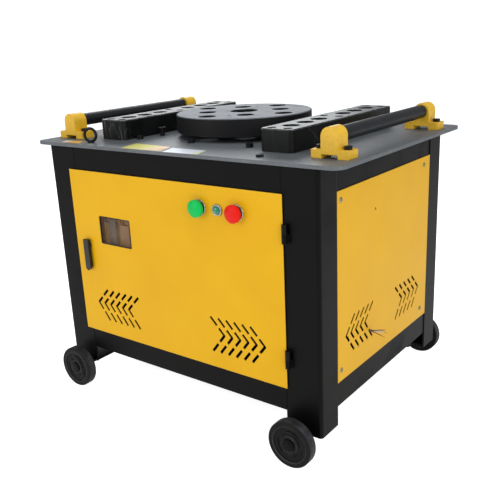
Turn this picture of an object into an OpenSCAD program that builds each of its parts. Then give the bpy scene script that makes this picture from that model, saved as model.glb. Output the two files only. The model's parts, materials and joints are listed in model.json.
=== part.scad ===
// Rebar bending machine on four wheels.
// Frame: +Z up, the door faces -Y, the right side panel faces +X.
// Origin: on the floor, in the middle between the four wheels.

/* [Table] */
// Length of the table plate along X
table_l = 908; // [880:1:960]
// Depth of the table plate along Y
table_d = 620; // [616:1:680]
// Thickness of the table plate
table_t = 8; // [6:0.5:12]
// Height of the table's upper face above the floor
table_z = 664; // [660:1:680]
// Corner radius of the table plate
table_r = 26; // [10:1:60]

/* [Frame] */
// Length of the welded frame along X
frame_l = 810; // [800:1:820]
// Depth of the welded frame along Y
frame_d = 610; // [604:1:612]
// Width of a corner post as seen from the front
post_w = 90; // [86:1:92]
// Width of a corner post as seen from the side
post_d = 70; // [68:1:76]
// Wall thickness of posts and rails
post_t = 5; // [4:0.5:6]
// Outer bend radius of the corner posts
post_r = 8; // [6:1:10]

/* [Wheels] */
// Diameter of each wheel
wheel_dia = 110; // [100:1:116]
// Width of each wheel
wheel_w = 26; // [20:1:28]

/* [Bending disc] */
// Diameter of the working disc
disc_dia = 345; // [330:1:350]
// Thickness of the working disc
disc_t = 45; // [40:1:50]
// Gap between the disc and the table
disc_gap = 12; // [8:0.5:14]
// Diameter of the centre socket for the mandrel
socket_dia = 72; // [50:1:76]
// Diameter of the peg holes in the disc
peg_dia = 44; // [30:1:46]
// Spacing of the square grid of disc holes
peg_pitch = 93; // [88:1:95]
// Angle at which the grid of disc holes stands
disc_turn = 39; // [0:1:90]

/* [Hole blocks] */
// Length of each hole block along Y
block_l = 470; // [460:1:480]
// Width of each hole block
block_w = 86; // [80:1:88]
// Height of each hole block
block_h = 50; // [40:1:60]
// Distance between the blocks' centre lines
block_span = 505; // [495:1:515]
// How far the pair of blocks is off the disc centre, along X
block_shift = -6; // [-8:1:8]
// Diameter of the block holes
block_hole_dia = 40; // [30:1:42]

/* [Material rollers] */
// Diameter of the rollers
roller_dia = 32; // [24:1:34]
// Distance of the rollers from the disc centre
roller_x = 392; // [385:1:396]
// Distance of the roller housings from the disc centre
roller_y = 222; // [215:1:235]

/* [Door] */
// How far the sheet covers, left edge
door_x0 = -333; // [-345:1:-325]
// How far the sheet covers, right edge
door_x1 = 320; // [317:1:321]
// Lower edge of the door
door_z0 = 163; // [160:1:170]
// Upper edge of the door
door_z1 = 599; // [592:1:610]
// Thickness of doors and panels
sheet_t = 2; // [1.5:0.5:2]
// Stroke of the push buttons
button_stroke = 4; // [2:0.5:5]

/* [Gears] */
// Module of the second stage, counter pinion and main gear
main_module = 4; // [4:0.5:4]
// Teeth of the main gear
main_teeth = 72; // [72:1:72]
// Teeth of the counter pinion
pinion_teeth = 16; // [16:1:16]
// Module of the first stage, input pinion and counter gear
input_module = 3; // [3:0.5:3]
// Teeth of the counter gear
counter_teeth = 72; // [72:1:72]
// Teeth of the input pinion
input_teeth = 17; // [17:1:17]

/* [Hidden] */
$fn = 64;

black = [0.13, 0.13, 0.14];
steel = [0.62, 0.63, 0.65];
dark_steel = [0.3, 0.32, 0.34];
yellow = [0.89, 0.69, 0.17];

half_l = frame_l / 2;
half_d = frame_d / 2;
table_under = table_z - table_t;
leg_z0 = 62;
clear = 0.3;
run = 0.05;

// Top and bottom rails
rail_front_top = 66;
rail_front_z0 = 107;
rail_front_h = 65;
rail_side_top = 91;
rail_side_h = 98;
side_inset = 2;
panel_z0 = 166;
panel_z1 = 597;
panel_gap = 1;
screw_in = 15;
side_screw_ys = [-219, 199];
screw_zs = [192, 577];

// Wheels
axle_z = wheel_dia / 2;
axle_x = half_l - 55;
axle_r = 8;
wheel_y = 328;
axle_end = 357;
washer_t = 2.2;

// Disc and main shaft
disc_z0 = table_z + disc_gap;
disc_z1 = disc_z0 + disc_t;
shaft_r = 37.5;

// Second plate that carries the gear train
lower_z0 = 508;
lower_z1 = 520;
tie_xs = [-197, -25, 150];
tie_y = 182;
tie_r = 5;

// Gear train: centres and levels
main_dist = main_module * (main_teeth + pinion_teeth) / 2;
input_dist = input_module * (counter_teeth + input_teeth) / 2;
counter_angle = 160;
input_angle = 240;
counter_pos = main_dist * [cos(counter_angle), sin(counter_angle)];
input_pos = counter_pos + input_dist * [cos(input_angle), sin(input_angle)];
counter_r = 17.5;
input_r = 14;
main_gear_z = 584;
main_gear_w = 36;
counter_gear_z = 546;
counter_gear_w = 26;
backlash = 0.18;

// Belt drive and motor
motor_pos = [215, -20];
driven_belt_r = 90;
motor_belt_r = 45;
belt_t = 8;
belt_w = 10;
belt_zs = [468, 486];
pulley_z0 = 458;
pulley_z1 = 496;
motor_z0 = 230;
motor_z1 = 448;
motor_shaft_r = 14;

// Louvres: columns of a slash, a chevron and a slash. Arms as [angle, arm, slash]
// Groups as [distance of the outermost point from the middle, its height, pitch of the columns]
louvre_w = 6.8;
louvre_arms = [[46, 22, 26], [-52, 23, 28]];
slash_gap = 8;
door_left_louvres = [274.5, 248, 22.2];
door_right_louvres = [264, 248.5, 22.9];
side_front_louvres = [197, 265, 21.8];
side_rear_louvres = [182, 260, 24];

// Door hardware
door_y = -309;
hinge_x = 327;
hinge_y = -313;
hinge_r = 6;
hinge_half = 20;
hinge_zs = [236, 517];
latch_x = -288;
latch_z = 405;
switch_xs = [99, 203];
lamp_x = 151;
switch_z = 547;
window_x0 = -237;
window_z0 = 416;
window_w = 106;
window_h = 70;

// Supply lead: centres of the sheath, from its clip through a louvre slot to the stripped end
lead_along = 34;
lead_y = -side_front_louvres[0] + 4 * side_front_louvres[2] + lead_along * cos(louvre_arms[1][0]);
lead_z = side_front_louvres[1] + lead_along * sin(louvre_arms[1][0]);
lead_r = 2.5;
LEAD = [for (p = [[-9, 0, 0], [3, 0, 0], [11, 1.5, -0.5], [19, 4.5, -2], [28, 9, -4], [37, 14, -6]])
    [half_l, lead_y, lead_z] + p];

// --- helpers ---

// Cylinder from y0 to y1 along Y
module rod_y(x, y0, y1, z, r) {
    translate([x, y1, z]) rotate([90, 0, 0]) cylinder(r = r, h = y1 - y0);
}

// Cylinder from x0 to x1 along X
module rod_x(x0, x1, y, z, r) {
    translate([x0, y, z]) rotate([0, 90, 0]) cylinder(r = r, h = x1 - x0);
}

// Box given by its two corners
module span(a, b) {
    translate(a) cube(b - a);
}

// Rectangle with round corners, made of squares and circles
module round_rect(l, w, r) {
    square([l - 2 * r, w], center = true);
    square([l, w - 2 * r], center = true);
    for (x = [-1, 1], y = [-1, 1])
        translate([x * (l / 2 - r), y * (w / 2 - r)]) circle(r = r);
}

// Round ring between two heights
module ring(r_out, r_in, z0, z1) {
    translate([0, 0, z0]) difference() {
        cylinder(r = r_out, h = z1 - z0);
        translate([0, 0, -1]) cylinder(r = r_in, h = z1 - z0 + 2);
    }
}

// --- frame ---

// Bent angle with its outer corner at the origin
module angle_profile() {
    translate([post_r, 0]) square([post_w - post_r, post_t]);
    translate([0, post_r]) square([post_t, post_d - post_r]);
    intersection() {
        translate([post_r, post_r]) difference() {
            circle(r = post_r);
            circle(r = post_r - post_t);
        }
        square([post_r, post_r]);
    }
}

module post() {
    translate([-half_l, -half_d, leg_z0]) linear_extrude(table_under - leg_z0) angle_profile();
}

module front_legs() color(black) {
    post();
    mirror([1, 0, 0]) post();
}

module rear_legs() color(black) mirror([0, 1, 0]) {
    post();
    mirror([1, 0, 0]) post();
}

// Front and rear rails: the door covers the front ones, a panel lies on the rear ones
module rails_along_x() {
    x1 = half_l - post_w;
    span([-x1, -half_d, table_under - rail_front_top], [x1, -half_d + post_t, table_under]);
    span([-x1, -half_d, rail_front_z0], [x1, -half_d + post_t, rail_front_z0 + rail_front_h]);
    y0 = half_d - side_inset;
    span([-x1, y0 - post_t, table_under - rail_side_top], [x1, y0, table_under]);
    span([-x1, y0 - post_t, rail_front_z0], [x1, y0, rail_front_z0 + rail_side_h]);
}

module rails_along_y() {
    y1 = half_d - post_d;
    x1 = half_l - side_inset;
    span([x1 - post_t, -y1, table_under - rail_side_top], [x1, y1, table_under]);
    span([x1 - post_t, -y1, rail_front_z0], [x1, y1, rail_front_z0 + rail_side_h]);
}

module panel_screw_holes_x(r) {
    for (y = side_screw_ys, z = screw_zs)
        rod_x(half_l - 20, half_l + 10, y, z, r);
}

module panel_screw_holes_y(r) {
    x1 = half_l - post_w - panel_gap - screw_in;
    for (x = [-x1, x1], z = screw_zs)
        rod_y(x, half_d - 20, half_d + 10, z, r);
}

module frame_rails() color(black) difference() {
    union() {
        rails_along_x();
        rails_along_y();
        mirror([1, 0, 0]) rails_along_y();
    }
    panel_screw_holes_x(3.1);
    mirror([1, 0, 0]) panel_screw_holes_x(3.1);
    panel_screw_holes_y(3.1);
}

module table_plate() color([0.5, 0.49, 0.47]) difference() {
    translate([0, 0, table_under]) linear_extrude(table_t) round_rect(table_l, table_d, table_r);
    translate([0, 0, table_under - 1]) {
        cylinder(r = 46, h = table_t + 2);
        for (x = tie_xs, y = [-tie_y, tie_y])
            translate([x, y, 0]) cylinder(r = tie_r + 0.5, h = table_t + 2);
        for (s = [-1, 1]) {
            for (p = block_bolt_points())
                translate([block_x(s) + p[0], p[1], 0]) cylinder(r = 6.5, h = table_t + 2);
            for (t = [-1, 1], f = [-1, 1])
                translate([s * roller_x + f * foot_x, t * roller_y, 0])
                    cylinder(r = 6.5, h = table_t + 2);
        }
        translate([eye_x, eye_y, 0]) cylinder(r = 6.2, h = table_t + 2);
        translate([stud_x, stud_y, 0]) cylinder(r = 6.2, h = table_t + 2);
        translate([plug_x, plug_y, 0]) cylinder(r = 6.2, h = table_t + 2);
    }
}

// --- louvred panels ---

// Straight slot of length len whose lower end is at the origin, leaning by angle
module stroke(len, angle) {
    rotate(angle) translate([0, -louvre_w / 2]) square([len, louvre_w]);
}

// One column: chevron with its point at the origin, opening towards +X, and a slash beyond each arm
module louvre_column() {
    for (arm = louvre_arms) {
        stroke(arm[1], arm[0]);
        start = arm[1] + slash_gap;
        translate(start * [cos(arm[0]), sin(arm[0])]) stroke(arm[2], arm[0]);
    }
    circle(r = louvre_w / 2);
}

// A group of columns whose points face -X
module louvres(count, group) {
    translate([-group[0], group[1]])
        for (i = [0:count - 1]) translate([i * group[2], 0]) louvre_column();
}

// Two groups that point away from each other
module louvre_pair(count, left, right) {
    louvres(count, left);
    mirror([1, 0]) louvres(count, right);
}

// Sheet that stands in the XZ plane, outer face towards -Y, at y0
module standing_sheet(y0, t) {
    translate([0, y0 + t, 0]) rotate([90, 0, 0]) linear_extrude(t) children();
}

module side_sheet_outline() {
    y1 = half_d - post_d - panel_gap;
    difference() {
        translate([-y1, panel_z0]) square([2 * y1, panel_z1 - panel_z0]);
        louvre_pair(5, side_front_louvres, side_rear_louvres);
        for (y = side_screw_ys, z = screw_zs) translate([y, z]) circle(r = 3.3);
    }
}

// The side sheet, turned so that its outer face looks towards +X
module side_sheet() {
    rotate([0, 0, 90]) standing_sheet(-half_l, sheet_t) side_sheet_outline();
}

module right_panel() color(yellow) difference() {
    side_sheet();
    rod_x(half_l - 10, half_l + 10, -63, 524, 3);
}

module left_panel() color(yellow) mirror([1, 0, 0]) side_sheet();

module rear_panel() color(yellow) mirror([0, 1, 0]) standing_sheet(-half_d, sheet_t)
    difference() {
        x1 = half_l - post_w - panel_gap;
        translate([-x1, panel_z0]) square([2 * x1, panel_z1 - panel_z0]);
        louvre_pair(6, door_left_louvres, door_right_louvres);
        for (x = [-1, 1], z = screw_zs)
            translate([x * (x1 - screw_in), z]) circle(r = 3.3);
    }

// Pan-head screw along -Z from the origin, with a cross slot
module pan_screw() {
    translate([0, 0, -9]) cylinder(r = 3, h = 9);
    difference() {
        intersection() {
            cylinder(r = 6, h = 3);
            translate([0, 0, -6]) sphere(r = 9);
        }
        for (a = [0, 90]) rotate(a) translate([-3.5, -0.6, 1.6]) cube([7, 1.2, 2]);
    }
}

module side_screws() {
    for (y = side_screw_ys, z = screw_zs)
        translate([half_l, y, z]) rotate([0, 90, 0]) pan_screw();
}

module panel_screws() color(steel) {
    side_screws();
    mirror([1, 0, 0]) side_screws();
    x1 = half_l - post_w - panel_gap - screw_in;
    for (x = [-x1, x1], z = screw_zs)
        translate([x, half_d, z]) rotate([-90, 0, 0]) pan_screw();
}

// --- wheels ---

// Foot plate inside the front left post, square carrier under it and the axle
module axle() {
    plate_x = half_l - post_t - 1;
    span([-plate_x, -half_d + post_t + 1, leg_z0], [-half_l + post_w - 2, -half_d + 64, leg_z0 + 6]);
    span([-axle_x - 8, -322, leg_z0 - 14], [-axle_x + 8, -half_d + 64, leg_z0]);
    rod_y(-axle_x, -axle_end, -321, axle_z, axle_r);
    rod_y(-axle_x, -wheel_y + clear, -321, axle_z, 12);
}

module wheel_axles() color(steel) {
    axle();
    mirror([1, 0, 0]) axle();
    mirror([0, 1, 0]) axle();
    mirror([1, 0, 0]) mirror([0, 1, 0]) axle();
}

module wheel_washers() color(steel) for (x = [-1, 1], y = [-1, 1]) {
    y0 = wheel_y + wheel_w + clear;
    translate([x * axle_x, y * (y0 + washer_t / 2), axle_z]) rotate([90, 0, 0])
        ring(14, axle_r + 0.02, -washer_t / 2, washer_t / 2);
}

// Half section of a wheel: radius across, width up, outer face on top
module wheel_section() {
    r = wheel_dia / 2;
    difference() {
        union() {
            translate([axle_r + run, 0]) square([r - 4 - axle_r - run, wheel_w]);
            translate([r - 8, 4]) square([8, wheel_w - 8]);
            for (y = [4, wheel_w - 4]) translate([r - 4, y]) circle(r = 4);
        }
        translate([21, wheel_w - 3]) square([r - 33, 4]);
        translate([21, -1]) square([r - 33, 6]);
        translate([axle_r - 1, wheel_w - 1.5]) square([9, 3]);
    }
}

// Wheel with its outer face towards -Y
module wheel() {
    translate([0, -wheel_y, axle_z]) rotate([90, 0, 0]) rotate_extrude($fn = 96) wheel_section();
}

module wheel_front_left() color(black) translate([-axle_x, 0, 0]) wheel();
module wheel_front_right() color(black) translate([axle_x, 0, 0]) wheel();
module wheel_rear_left() color(black) translate([-axle_x, 0, 0]) mirror([0, 1, 0]) wheel();
module wheel_rear_right() color(black) translate([axle_x, 0, 0]) mirror([0, 1, 0]) wheel();

// --- table fittings ---

eye_x = -276;
eye_y = -276;
stud_x = -183;
stud_y = -114;
plug_x = 243;
plug_y = -272;

// Bolts of a block, measured from its centre
function block_bolt_points() = [for (y = [-217, 0, 217], x = [-21, 21]) [x, y + block_y()]];
function block_y() = 17;
function block_x(s) = block_shift + s * block_span / 2;
function block_hole_ys() = [for (s = [-1, 1], k = [0:2]) block_y() + s * (57 + k * 58)];

module block_outline() {
    translate([0, block_y()]) round_rect(block_w, block_l, 12);
}

// Block with a small chamfer along its top edge
module hole_block() difference() {
    union() {
        translate([0, 0, table_z]) linear_extrude(block_h - 2) block_outline();
        translate([0, block_y(), table_z + block_h - 2]) linear_extrude(2)
            round_rect(block_w - 2.4, block_l - 2.4, 11);
    }
    for (y = block_hole_ys()) translate([0, y, table_z - 1])
        cylinder(d = block_hole_dia, h = block_h + 2);
    for (p = block_bolt_points()) translate([p[0], p[1], table_z - 1]) {
        cylinder(r = 6.5, h = block_h + 2);
        translate([0, 0, block_h - 13]) cylinder(r = 10.5, h = 20);
    }
}

module block_left() color(dark_steel) translate([block_x(-1), 0, 0]) hole_block();
module block_right() color(dark_steel) translate([block_x(1), 0, 0]) hole_block();

// Socket-head screw whose head stands on the origin
module cap_screw(r, head_r, head_h, len) {
    difference() {
        union() {
            cylinder(r = head_r, h = head_h);
            translate([0, 0, -len]) cylinder(r = r, h = len + 1);
        }
        translate([0, 0, head_h - head_h * 0.55]) cylinder(r = head_r * 0.52, h = head_h, $fn = 6);
    }
}

module block_bolts() color([0.12, 0.12, 0.13]) for (s = [-1, 1], p = block_bolt_points())
    translate([block_x(s) + p[0], p[1], table_z + block_h - 14])
        cap_screw(6, 10, 10, block_h - 14 + table_t + 6);

// Pillow housing: broad foot, arched body, blind bore for the roller's journal
roller_z = table_z + 44;
dome_r = 20;
house_d = 40;
foot_x = 32;
foot_reach = 43;
foot_h = 18;
journal_r = 8;

module housing_outline() {
    difference() {
        union() {
            translate([-foot_reach, 0]) square([2 * foot_reach, foot_h]);
            translate([-dome_r, 0]) square([2 * dome_r, roller_z - table_z]);
            translate([0, roller_z - table_z]) circle(r = dome_r);
        }
        translate([-19, -1]) square([38, 9]);
    }
}

// Housing whose outer face is at y = -house_d / 2 and whose bore opens towards +Y
module housing() difference() {
    translate([0, 0, table_z]) standing_sheet(-house_d / 2, house_d) housing_outline();
    rod_y(0, -8, house_d, roller_z, journal_r + run);
    for (x = [-foot_x, foot_x]) translate([x, 0, table_z - 1]) cylinder(r = 6.5, h = foot_h + 2);
}

module roller_housings() color([0.94, 0.74, 0.27]) for (x = [-1, 1]) {
    translate([x * roller_x, -roller_y, 0]) housing();
    translate([x * roller_x, roller_y, 0]) mirror([0, 1, 0]) housing();
}

module housing_bolts() color([0.14, 0.12, 0.12])
    for (x = [-1, 1], y = [-1, 1], f = [-1, 1])
        translate([x * roller_x + f * foot_x, y * roller_y, table_z + foot_h])
            cap_screw(6, 8.5, 7, foot_h + table_t + 6);

module roller() {
    body = roller_y - house_d / 2 - 3;
    rod_y(0, -body, body, roller_z, roller_dia / 2);
    rod_y(0, -body - 18, body + 18, roller_z, journal_r);
}

module roller_left() color(dark_steel) translate([-roller_x, 0, 0]) roller();
module roller_right() color(dark_steel) translate([roller_x, 0, 0]) roller();

// Forged ring on a low collar, with a shank through the table
module eye_ring(r_in_bar) {
    translate([0, 0, 19.5]) rotate([90, 0, 20]) rotate_extrude($fn = 64)
        translate([16, 0]) circle(r = r_in_bar, $fn = 24);
}

module lifting_eye() color(black) translate([eye_x, eye_y, table_z]) {
    eye_ring(3.6);
    cylinder(r = 8, h = 3);
    translate([0, 0, -table_t - 8]) cylinder(r = 6, h = table_t + 9);
}

module table_studs() color([0.16, 0.15, 0.15]) {
    translate([stud_x, stud_y, table_z - table_t - 4]) {
        cylinder(r = 6, h = table_t + 4 + 19);
        translate([0, 0, table_t + 4 + 18]) cylinder(r = 10, h = 4);
    }
    translate([plug_x, plug_y, table_z]) cap_screw(6, 8.5, 5, table_t + 4);
}

// --- bending disc and its gear train ---

function disc_peg_points() = [for (i = [-1:1], j = [-1:1]) if (i != 0 || j != 0)
    peg_pitch * [i, j]];

module working_disc() color([0.42, 0.44, 0.46]) difference() {
    rotate_extrude($fn = 128) polygon([[0, disc_z0], [disc_dia / 2 - 3, disc_z0],
        [disc_dia / 2, disc_z0 + 3], [disc_dia / 2, disc_z1 - 2], [disc_dia / 2 - 2, disc_z1],
        [0, disc_z1]]);
    rotate(disc_turn) for (p = disc_peg_points())
        translate([p[0], p[1], disc_z0 - 1]) cylinder(d = peg_dia, h = disc_t + 2);
    translate([0, 0, disc_z0 - 1]) cylinder(d = socket_dia, h = disc_t + 2);
    for (a = [-73, 107]) rotate(a) translate([105, 0, disc_z0 - 1]) cylinder(r = 5, h = disc_t + 2);
}

module main_shaft() color(steel) {
    translate([0, 0, table_z + 1]) cylinder(r = 44, h = disc_gap - 1);
    translate([0, 0, lower_z1 - 4]) cylinder(r = shaft_r, h = table_z + 2 - lower_z1 + 4);
}

// Involute gear outline. Along a flank the half angle of a tooth at radius r is
// its value at the pitch circle plus inv(20) minus inv(a), where cos(a) = base radius / r.
function inv(a) = tan(a) * 180 / PI - a;
function flank_angle(m, z, r) =
    90 / z - backlash / (m * z / 2) * 180 / PI / 2 + inv(20)
    - inv(acos(min(1, m * z / 2 * cos(20) / r)));
function flank_radii(m, z) =
    let (root = m * z / 2 - 1.25 * m, tip = m * z / 2 + m, base = max(root, m * z / 2 * cos(20)))
    [for (k = [0:3]) base + (tip - base) * k / 3];
function tooth_points(m, z, i) =
    let (rs = flank_radii(m, z), root = m * z / 2 - 1.25 * m, c = 360 / z * i)
    concat(
        [let (a = c - flank_angle(m, z, rs[0])) root * [cos(a), sin(a)]],
        [for (r = rs) let (a = c - flank_angle(m, z, r)) r * [cos(a), sin(a)]],
        [for (k = [3:-1:0]) let (a = c + flank_angle(m, z, rs[k])) rs[k] * [cos(a), sin(a)]],
        [let (a = c + flank_angle(m, z, rs[0])) root * [cos(a), sin(a)]]);
function gear_points(m, z) = [for (i = [0:z - 1]) each tooth_points(m, z, i)];

// Toothed disc from z0 upwards, turned by phase
module gear(m, z, z0, w, phase) {
    translate([0, 0, z0]) rotate(phase) linear_extrude(w) polygon(gear_points(m, z));
}

module at_counter() {
    translate([counter_pos[0], counter_pos[1], 0]) children();
}

module at_input() {
    translate([input_pos[0], input_pos[1], 0]) children();
}

module at_motor() {
    translate([motor_pos[0], motor_pos[1], 0]) children();
}

// The big gears have a hub, a thin web and, in the web, round lightening holes
module main_gear() color([0.55, 0.55, 0.56]) difference() {
    gear(main_module, main_teeth, main_gear_z, main_gear_w, counter_angle);
    translate([0, 0, main_gear_z - 1]) cylinder(r = shaft_r + run, h = main_gear_w + 2);
    ring(120, 62, main_gear_z - 1, main_gear_z + 8);
    ring(120, 62, main_gear_z + main_gear_w - 8, main_gear_z + main_gear_w + 1);
    for (a = [30:60:330]) rotate(a) translate([91, 0, main_gear_z]) cylinder(r = 18, h = main_gear_w);
}

module counter_shaft() color(steel) at_counter() {
    translate([0, 0, lower_z1 - 4]) cylinder(r = counter_r, h = 650 - lower_z1 + 4);
    difference() {
        gear(main_module, pinion_teeth, main_gear_z - 2, main_gear_w + 4,
            counter_angle + 180 - 180 / pinion_teeth);
        translate([0, 0, main_gear_z - 3]) cylinder(r = counter_r - 1, h = main_gear_w + 6);
    }
}

module counter_gear() color([0.55, 0.55, 0.56]) at_counter() difference() {
    gear(input_module, counter_teeth, counter_gear_z, counter_gear_w, input_angle);
    translate([0, 0, counter_gear_z - 1]) cylinder(r = counter_r + run, h = counter_gear_w + 2);
    ring(90, 36, counter_gear_z + counter_gear_w - 6, counter_gear_z + counter_gear_w + 1);
    ring(90, 36, counter_gear_z - 1, counter_gear_z + 6);
    for (a = [0:60:300]) rotate(a) translate([63, 0, counter_gear_z])
        cylinder(r = 14, h = counter_gear_w);
}

module input_shaft() color(steel) at_input() {
    translate([0, 0, 454]) cylinder(r = input_r, h = 650 - 454);
    difference() {
        gear(input_module, input_teeth, counter_gear_z - 2, counter_gear_w + 4,
            input_angle + 180 - 180 / input_teeth);
        translate([0, 0, counter_gear_z - 3]) cylinder(r = input_r - 1, h = counter_gear_w + 6);
    }
}

// Grooved pulley: the belt rides between belt_r - belt_t / 2 and belt_r + belt_t / 2
module pulley(belt_r, bore_r) difference() {
    translate([0, 0, pulley_z0]) cylinder(r = belt_r + 5, h = pulley_z1 - pulley_z0);
    translate([0, 0, pulley_z0 - 1]) cylinder(r = bore_r + run, h = pulley_z1 - pulley_z0 + 2);
    for (z = belt_zs)
        ring(belt_r + 10, belt_r - belt_t / 2 - 0.6, z - belt_w / 2 - 0.6, z + belt_w / 2 + 0.6);
}

module driven_pulley() color([0.35, 0.36, 0.38]) at_input() difference() {
    pulley(driven_belt_r, input_r);
    ring(76, 32, pulley_z1 - 12, pulley_z1 + 1);
    ring(76, 32, pulley_z0 - 1, pulley_z0 + 12);
    for (a = [0:72:288]) rotate(a) translate([54, 0, pulley_z0 - 1]) cylinder(r = 15, h = 40);
}

module motor_pulley() color([0.35, 0.36, 0.38]) at_motor() pulley(motor_belt_r, motor_shaft_r);

// Open belt around both pulleys, dr inside or outside the middle of the belt.
// The straight runs touch both circles where their radii stand square to the runs.
belt_vector = input_pos - motor_pos;
belt_dir = atan2(belt_vector[1], belt_vector[0]);
belt_lean = acos((driven_belt_r - motor_belt_r) / norm(belt_vector));
function arc_points(c, r, a0, a1, n) =
    [for (k = [0:n]) let (a = a0 + (a1 - a0) * k / n) c + r * [cos(a), sin(a)]];
function belt_outline(dr) = concat(
    arc_points(input_pos, driven_belt_r + dr, belt_dir - 180 + belt_lean,
        belt_dir + 180 - belt_lean, 48),
    arc_points(motor_pos, motor_belt_r + dr, belt_dir + 180 - belt_lean,
        belt_dir + 180 + belt_lean, 24));

module drive_belts() color([0.08, 0.08, 0.08]) for (z = belt_zs)
    translate([0, 0, z - belt_w / 2]) linear_extrude(belt_w) difference() {
        polygon(belt_outline(belt_t / 2));
        polygon(belt_outline(-belt_t / 2));
    }

// Plate that carries the lower bearings, hung from the table on spacer tubes
module lower_plate() color([0.33, 0.34, 0.36]) difference() {
    span([-300, -205, lower_z0], [178, 205, lower_z1]);
    translate([0, 0, lower_z0 - 1]) {
        cylinder(r = shaft_r + 3, h = 20);
        at_counter() cylinder(r = counter_r + 3, h = 20);
        at_input() cylinder(r = input_r + 3, h = 20);
        for (x = tie_xs, y = [-tie_y, tie_y]) translate([x, y, 0]) cylinder(r = tie_r + 0.5, h = 20);
    }
}

module spacer_tubes() color(steel) for (x = tie_xs, y = [-tie_y, tie_y])
    translate([x, y, 0]) ring(11, tie_r + 0.5, lower_z1, table_under);

// Long bolts through table, spacer and lower plate, and the bolts of the motor's feet
module drive_bolts() color([0.16, 0.15, 0.15]) {
    for (x = tie_xs, y = [-tie_y, tie_y]) translate([x, y, 0]) {
        translate([0, 0, table_z]) cap_screw(tie_r, 8.5, 9.5, table_z - lower_z0 + 14);
        translate([0, 0, lower_z0 - 9]) difference() {
            cylinder(r = 9.5, h = 9, $fn = 6);
            translate([0, 0, -1]) cylinder(r = tie_r, h = 11);
        }
    }
    for (x = foot_xs, z = foot_zs) translate([motor_pos[0] + x, bracket_y + 10, z])
        rotate([-90, 0, 0]) cap_screw(5, 8, 6, 34);
}

// Flanged housings: the upper ones hang under the table, the lower ones stand on the plate
module bearing_pair(shaft_rad, bearing_rad, wall) {
    ring(bearing_rad + wall, bearing_rad + 0.02, table_under - 22, table_under);
    ring(bearing_rad + wall, bearing_rad + 0.02, lower_z1, lower_z1 + 20);
}

module bearing_rings(shaft_rad, bearing_rad) {
    ring(bearing_rad, shaft_rad + run, table_under - 22, table_under - 3);
    ring(bearing_rad, shaft_rad + run, lower_z1 + 1, lower_z1 + 20);
}

module bearing_housings() color([0.38, 0.4, 0.42]) {
    bearing_pair(shaft_r, 57.5, 12);
    at_counter() bearing_pair(counter_r, 36, 9);
    at_input() bearing_pair(input_r, 31, 9);
}

module bearings() color([0.78, 0.78, 0.8]) {
    bearing_rings(shaft_r, 57.5);
    at_counter() bearing_rings(counter_r, 36);
    at_input() bearing_rings(input_r, 31);
}

// --- motor ---

bracket_y = 100;
foot_xs = [-55, 55];
foot_zs = [285, 395];
stator_r = 86;
rail_base = 112;
rail_top = 152;
fan_z = motor_z0 - 38;
rotor_r = 45;

// Base sheet of the cabinet and, on it, two channels that carry the motor
module motor_rails() color(black) {
    y0 = -half_d + post_t;
    y1 = half_d - side_inset - post_t;
    x1 = half_l - side_inset - post_t;
    span([-x1, y0, rail_base - 3], [x1, y1, rail_base]);
    for (x = [140, 290]) difference() {
        span([x - 20, y0, rail_base], [x + 20, y1, rail_top]);
        span([x - 17, y0 - 1, rail_base + 3], [x + 17, y1 + 1, rail_top - 3]);
    }
}

module motor_bracket() color(dark_steel) difference() {
    union() {
        span([115, bracket_y, rail_top], [315, bracket_y + 10, 450]);
        for (x = [124, 296]) span([x, bracket_y + 10, rail_top], [x + 10, bracket_y + 120, rail_top + 10]);
        for (x = [124, 296]) translate([x, bracket_y + 10, rail_top + 10]) rotate([90, 0, 90])
            linear_extrude(10) polygon([[0, 0], [110, 0], [0, 180]]);
    }
    for (x = foot_xs, z = foot_zs)
        rod_y(motor_pos[0] + x, bracket_y - 1, bracket_y + 12, z, 5.5);
}

module motor_housing() color([0.25, 0.32, 0.38]) difference() {
    union() {
        at_motor() translate([0, 0, motor_z0 + 18]) {
            cylinder(r = 95, h = motor_z1 - motor_z0 - 36);
            for (a = [110:10:430]) rotate(a) translate([92, -1.5, 0])
                cube([12, 3, motor_z1 - motor_z0 - 36]);
        }
        for (x = foot_xs) span([motor_pos[0] + x - 15, 50, 260], [motor_pos[0] + x + 15, bracket_y, 420]);
        span([motor_pos[0] - 45, -160, 310], [motor_pos[0] + 45, -108, 400]);
    }
    at_motor() translate([0, 0, motor_z0]) cylinder(r = stator_r + 0.02, h = 240);
    for (x = foot_xs, z = foot_zs) rod_y(motor_pos[0] + x, 66, bracket_y + 1, z, 5.5);
}

module motor_end_shields() color([0.25, 0.32, 0.38]) at_motor() {
    ring(98, motor_shaft_r + run, motor_z1 - 18, motor_z1);
    ring(98, motor_shaft_r + run, motor_z0, motor_z0 + 18);
}

module stator() color([0.72, 0.45, 0.25]) at_motor()
    ring(stator_r, rotor_r + 1, motor_z0 + 36, motor_z1 - 36);

module fan_cover() color([0.2, 0.26, 0.31]) at_motor() difference() {
    translate([0, 0, motor_z0 - 52]) cylinder(r = 100, h = 52);
    translate([0, 0, motor_z0 - 50]) cylinder(r = 98, h = 60);
    for (r = [24, 42, 60, 78]) difference() {
        ring(r + 5, r, motor_z0 - 60, motor_z0 - 45);
        for (a = [0, 60, 120]) rotate(a) translate([-110, -3, motor_z0 - 70]) cube([220, 6, 40]);
    }
}

module motor_rotor() color(steel) at_motor() {
    translate([0, 0, motor_z0 - 42]) cylinder(r = motor_shaft_r, h = 498 - motor_z0 + 42);
    translate([0, 0, motor_z0 + 40]) cylinder(r = rotor_r, h = motor_z1 - motor_z0 - 80);
}

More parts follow.
